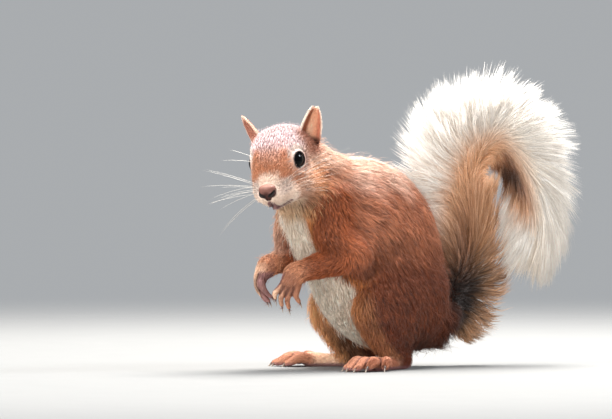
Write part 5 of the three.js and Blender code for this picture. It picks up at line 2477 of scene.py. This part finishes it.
@dataclass(frozen=True)
class Studio:
    """Camera, pale floor and soft lights."""

    azimuth: float = -30.0
    elevation: float = 1.5
    target: Row = (-34.7, 20.0, 91.9)
    away: float = 5.0
    lens: float = 507.0
    lights: tuple[Light, ...] = (
        Light("key", (0.22, 0.92, -0.34), 80.0, 0.8, (1.0, 0.98, 0.95)),
        Light("sky", (-0.49, 0.81, 0.31), 14.0, 0.6, (0.97, 0.98, 1.0)),
        Light("glint", (0.83, 0.55, -0.03), 14.0, 0.28, (0.90, 0.95, 1.0)),
        Light("fill", (-0.60, 0.20, 0.75), 13.0, 0.9, (1.0, 0.98, 0.96)),
    )
    lamp_distance: float = 1.4
    air: Row = (0.80, 0.83, 0.86)
    air_strength: float = 0.50
    floor_radius: float = 1.3
    floor_corners: int = 96
    floor_solid: float = 0.35  # the floor fades out from here
    floor_gone: float = 1.2  # to here

    def axes(self) -> tuple[Vector, Vector]:
        """Directions to the right and back toward the camera.

        Returns:
            Both directions.
        """
        a, e = math.radians(self.azimuth), math.radians(self.elevation)
        back = Vector((math.sin(a) * math.cos(e), -math.cos(a) * math.cos(e), math.sin(e)))
        return Vector((math.cos(a), math.sin(a), 0)), back

    def build(self, placing: Placing) -> None:
        """Makes the camera, the floor, the lights and the air.

        Args:
            placing: moves pieces to the row frame
        """
        right, back = self.axes()
        target = Vector(placing.out(np.array(self.target)))
        camera = bpy.data.objects.new("camera", bpy.data.cameras.new("camera"))
        camera.data.lens, camera.data.sensor_width = self.lens, 36.0
        camera.data.clip_start, camera.data.clip_end = 0.1, 40.0
        camera.location = target + back * self.away
        camera.rotation_euler = back.to_track_quat("Z", "Y").to_euler()
        bpy.context.scene.collection.objects.link(camera)
        bpy.context.scene.camera = camera
        for light in self.lights:
            data = bpy.data.lights.new(light.name, "AREA")
            data.energy, data.size, data.color = light.watts, light.size, light.colour
            lamp = bpy.data.objects.new(light.name, data)
            way = (right * light.way[0] + Vector((0, 0, 1)) * light.way[1] + back * light.way[2]).normalized()
            lamp.location = target + way * self.lamp_distance
            lamp.rotation_euler = way.to_track_quat("Z", "Y").to_euler()
            bpy.context.scene.collection.objects.link(lamp)
        world = bpy.data.worlds.new("air")
        world.use_nodes = True
        ground = world.node_tree.nodes["Background"]
        ground.inputs["Color"].default_value = (*self.air, 1.0)
        ground.inputs["Strength"].default_value = self.air_strength
        bpy.context.scene.world = world
        bpy.context.scene.view_settings.view_transform = "Standard"
        self.floor(target)

    def floor(self, middle: Vector) -> None:
        """Makes the pale floor.

        Args:
            middle: where the camera looks
        """
        mesh = bpy.data.meshes.new("floor")
        turns = np.linspace(0, math.tau, self.floor_corners + 1)[:-1]
        corners = [(math.cos(a) * self.floor_radius, math.sin(a) * self.floor_radius, 0) for a in turns]
        mesh.from_pydata(corners, [], [tuple(range(self.floor_corners))])
        tree = Tree("floor_board")
        place = tree.place()
        grain = tree.noise(place, 40.0)
        colour = tree.blend(grain, (0.19, 0.19, 0.187), (0.205, 0.205, 0.20))
        reach = tree.node("ShaderNodeVectorMath", {"operation": "LENGTH"}, {0: place}, "Value")
        solid = tree.node("ShaderNodeMapRange", {"interpolation_type": "SMOOTHSTEP"},
                          {"Value": reach, "From Min": self.floor_solid, "From Max": self.floor_gone,
                           "To Min": 1.0, "To Max": 0.0})
        mesh.materials.append(tree.finish(Base_Color=colour, Roughness=0.85, Alpha=solid))
        floor = bpy.data.objects.new("floor", mesh)
        floor.location = (middle.x, middle.y, 0)
        bpy.context.scene.collection.objects.link(floor)


def report(pieces: Sequence[Object]) -> None:
    """Logs each piece with its number of faces."""
    for piece in pieces:
        log.info("%s: %d faces", piece.name, len(piece.data.polygons))


def main() -> None:
    """Builds the animal in order, then the studio."""
    logging.basicConfig(level=logging.INFO, format="%(relativeCreated)d %(message)s")
    plan = BodyPlan()
    placing = Placing()
    markings = Markings(plan)
    skin = Skin(plan, markings)
    report([skin.build(placing)])
    report(Eyes().build(plan, placing))
    report([NosePad().build(plan, placing)])
    report(Claws().build(plan, placing))
    report([Whiskers().build(placing)])
    report(Coat(plan, markings, skin).build(placing))
    report(Plume().build(plan, placing))
    Studio().build(placing)


if __name__ == "__main__":
    main()
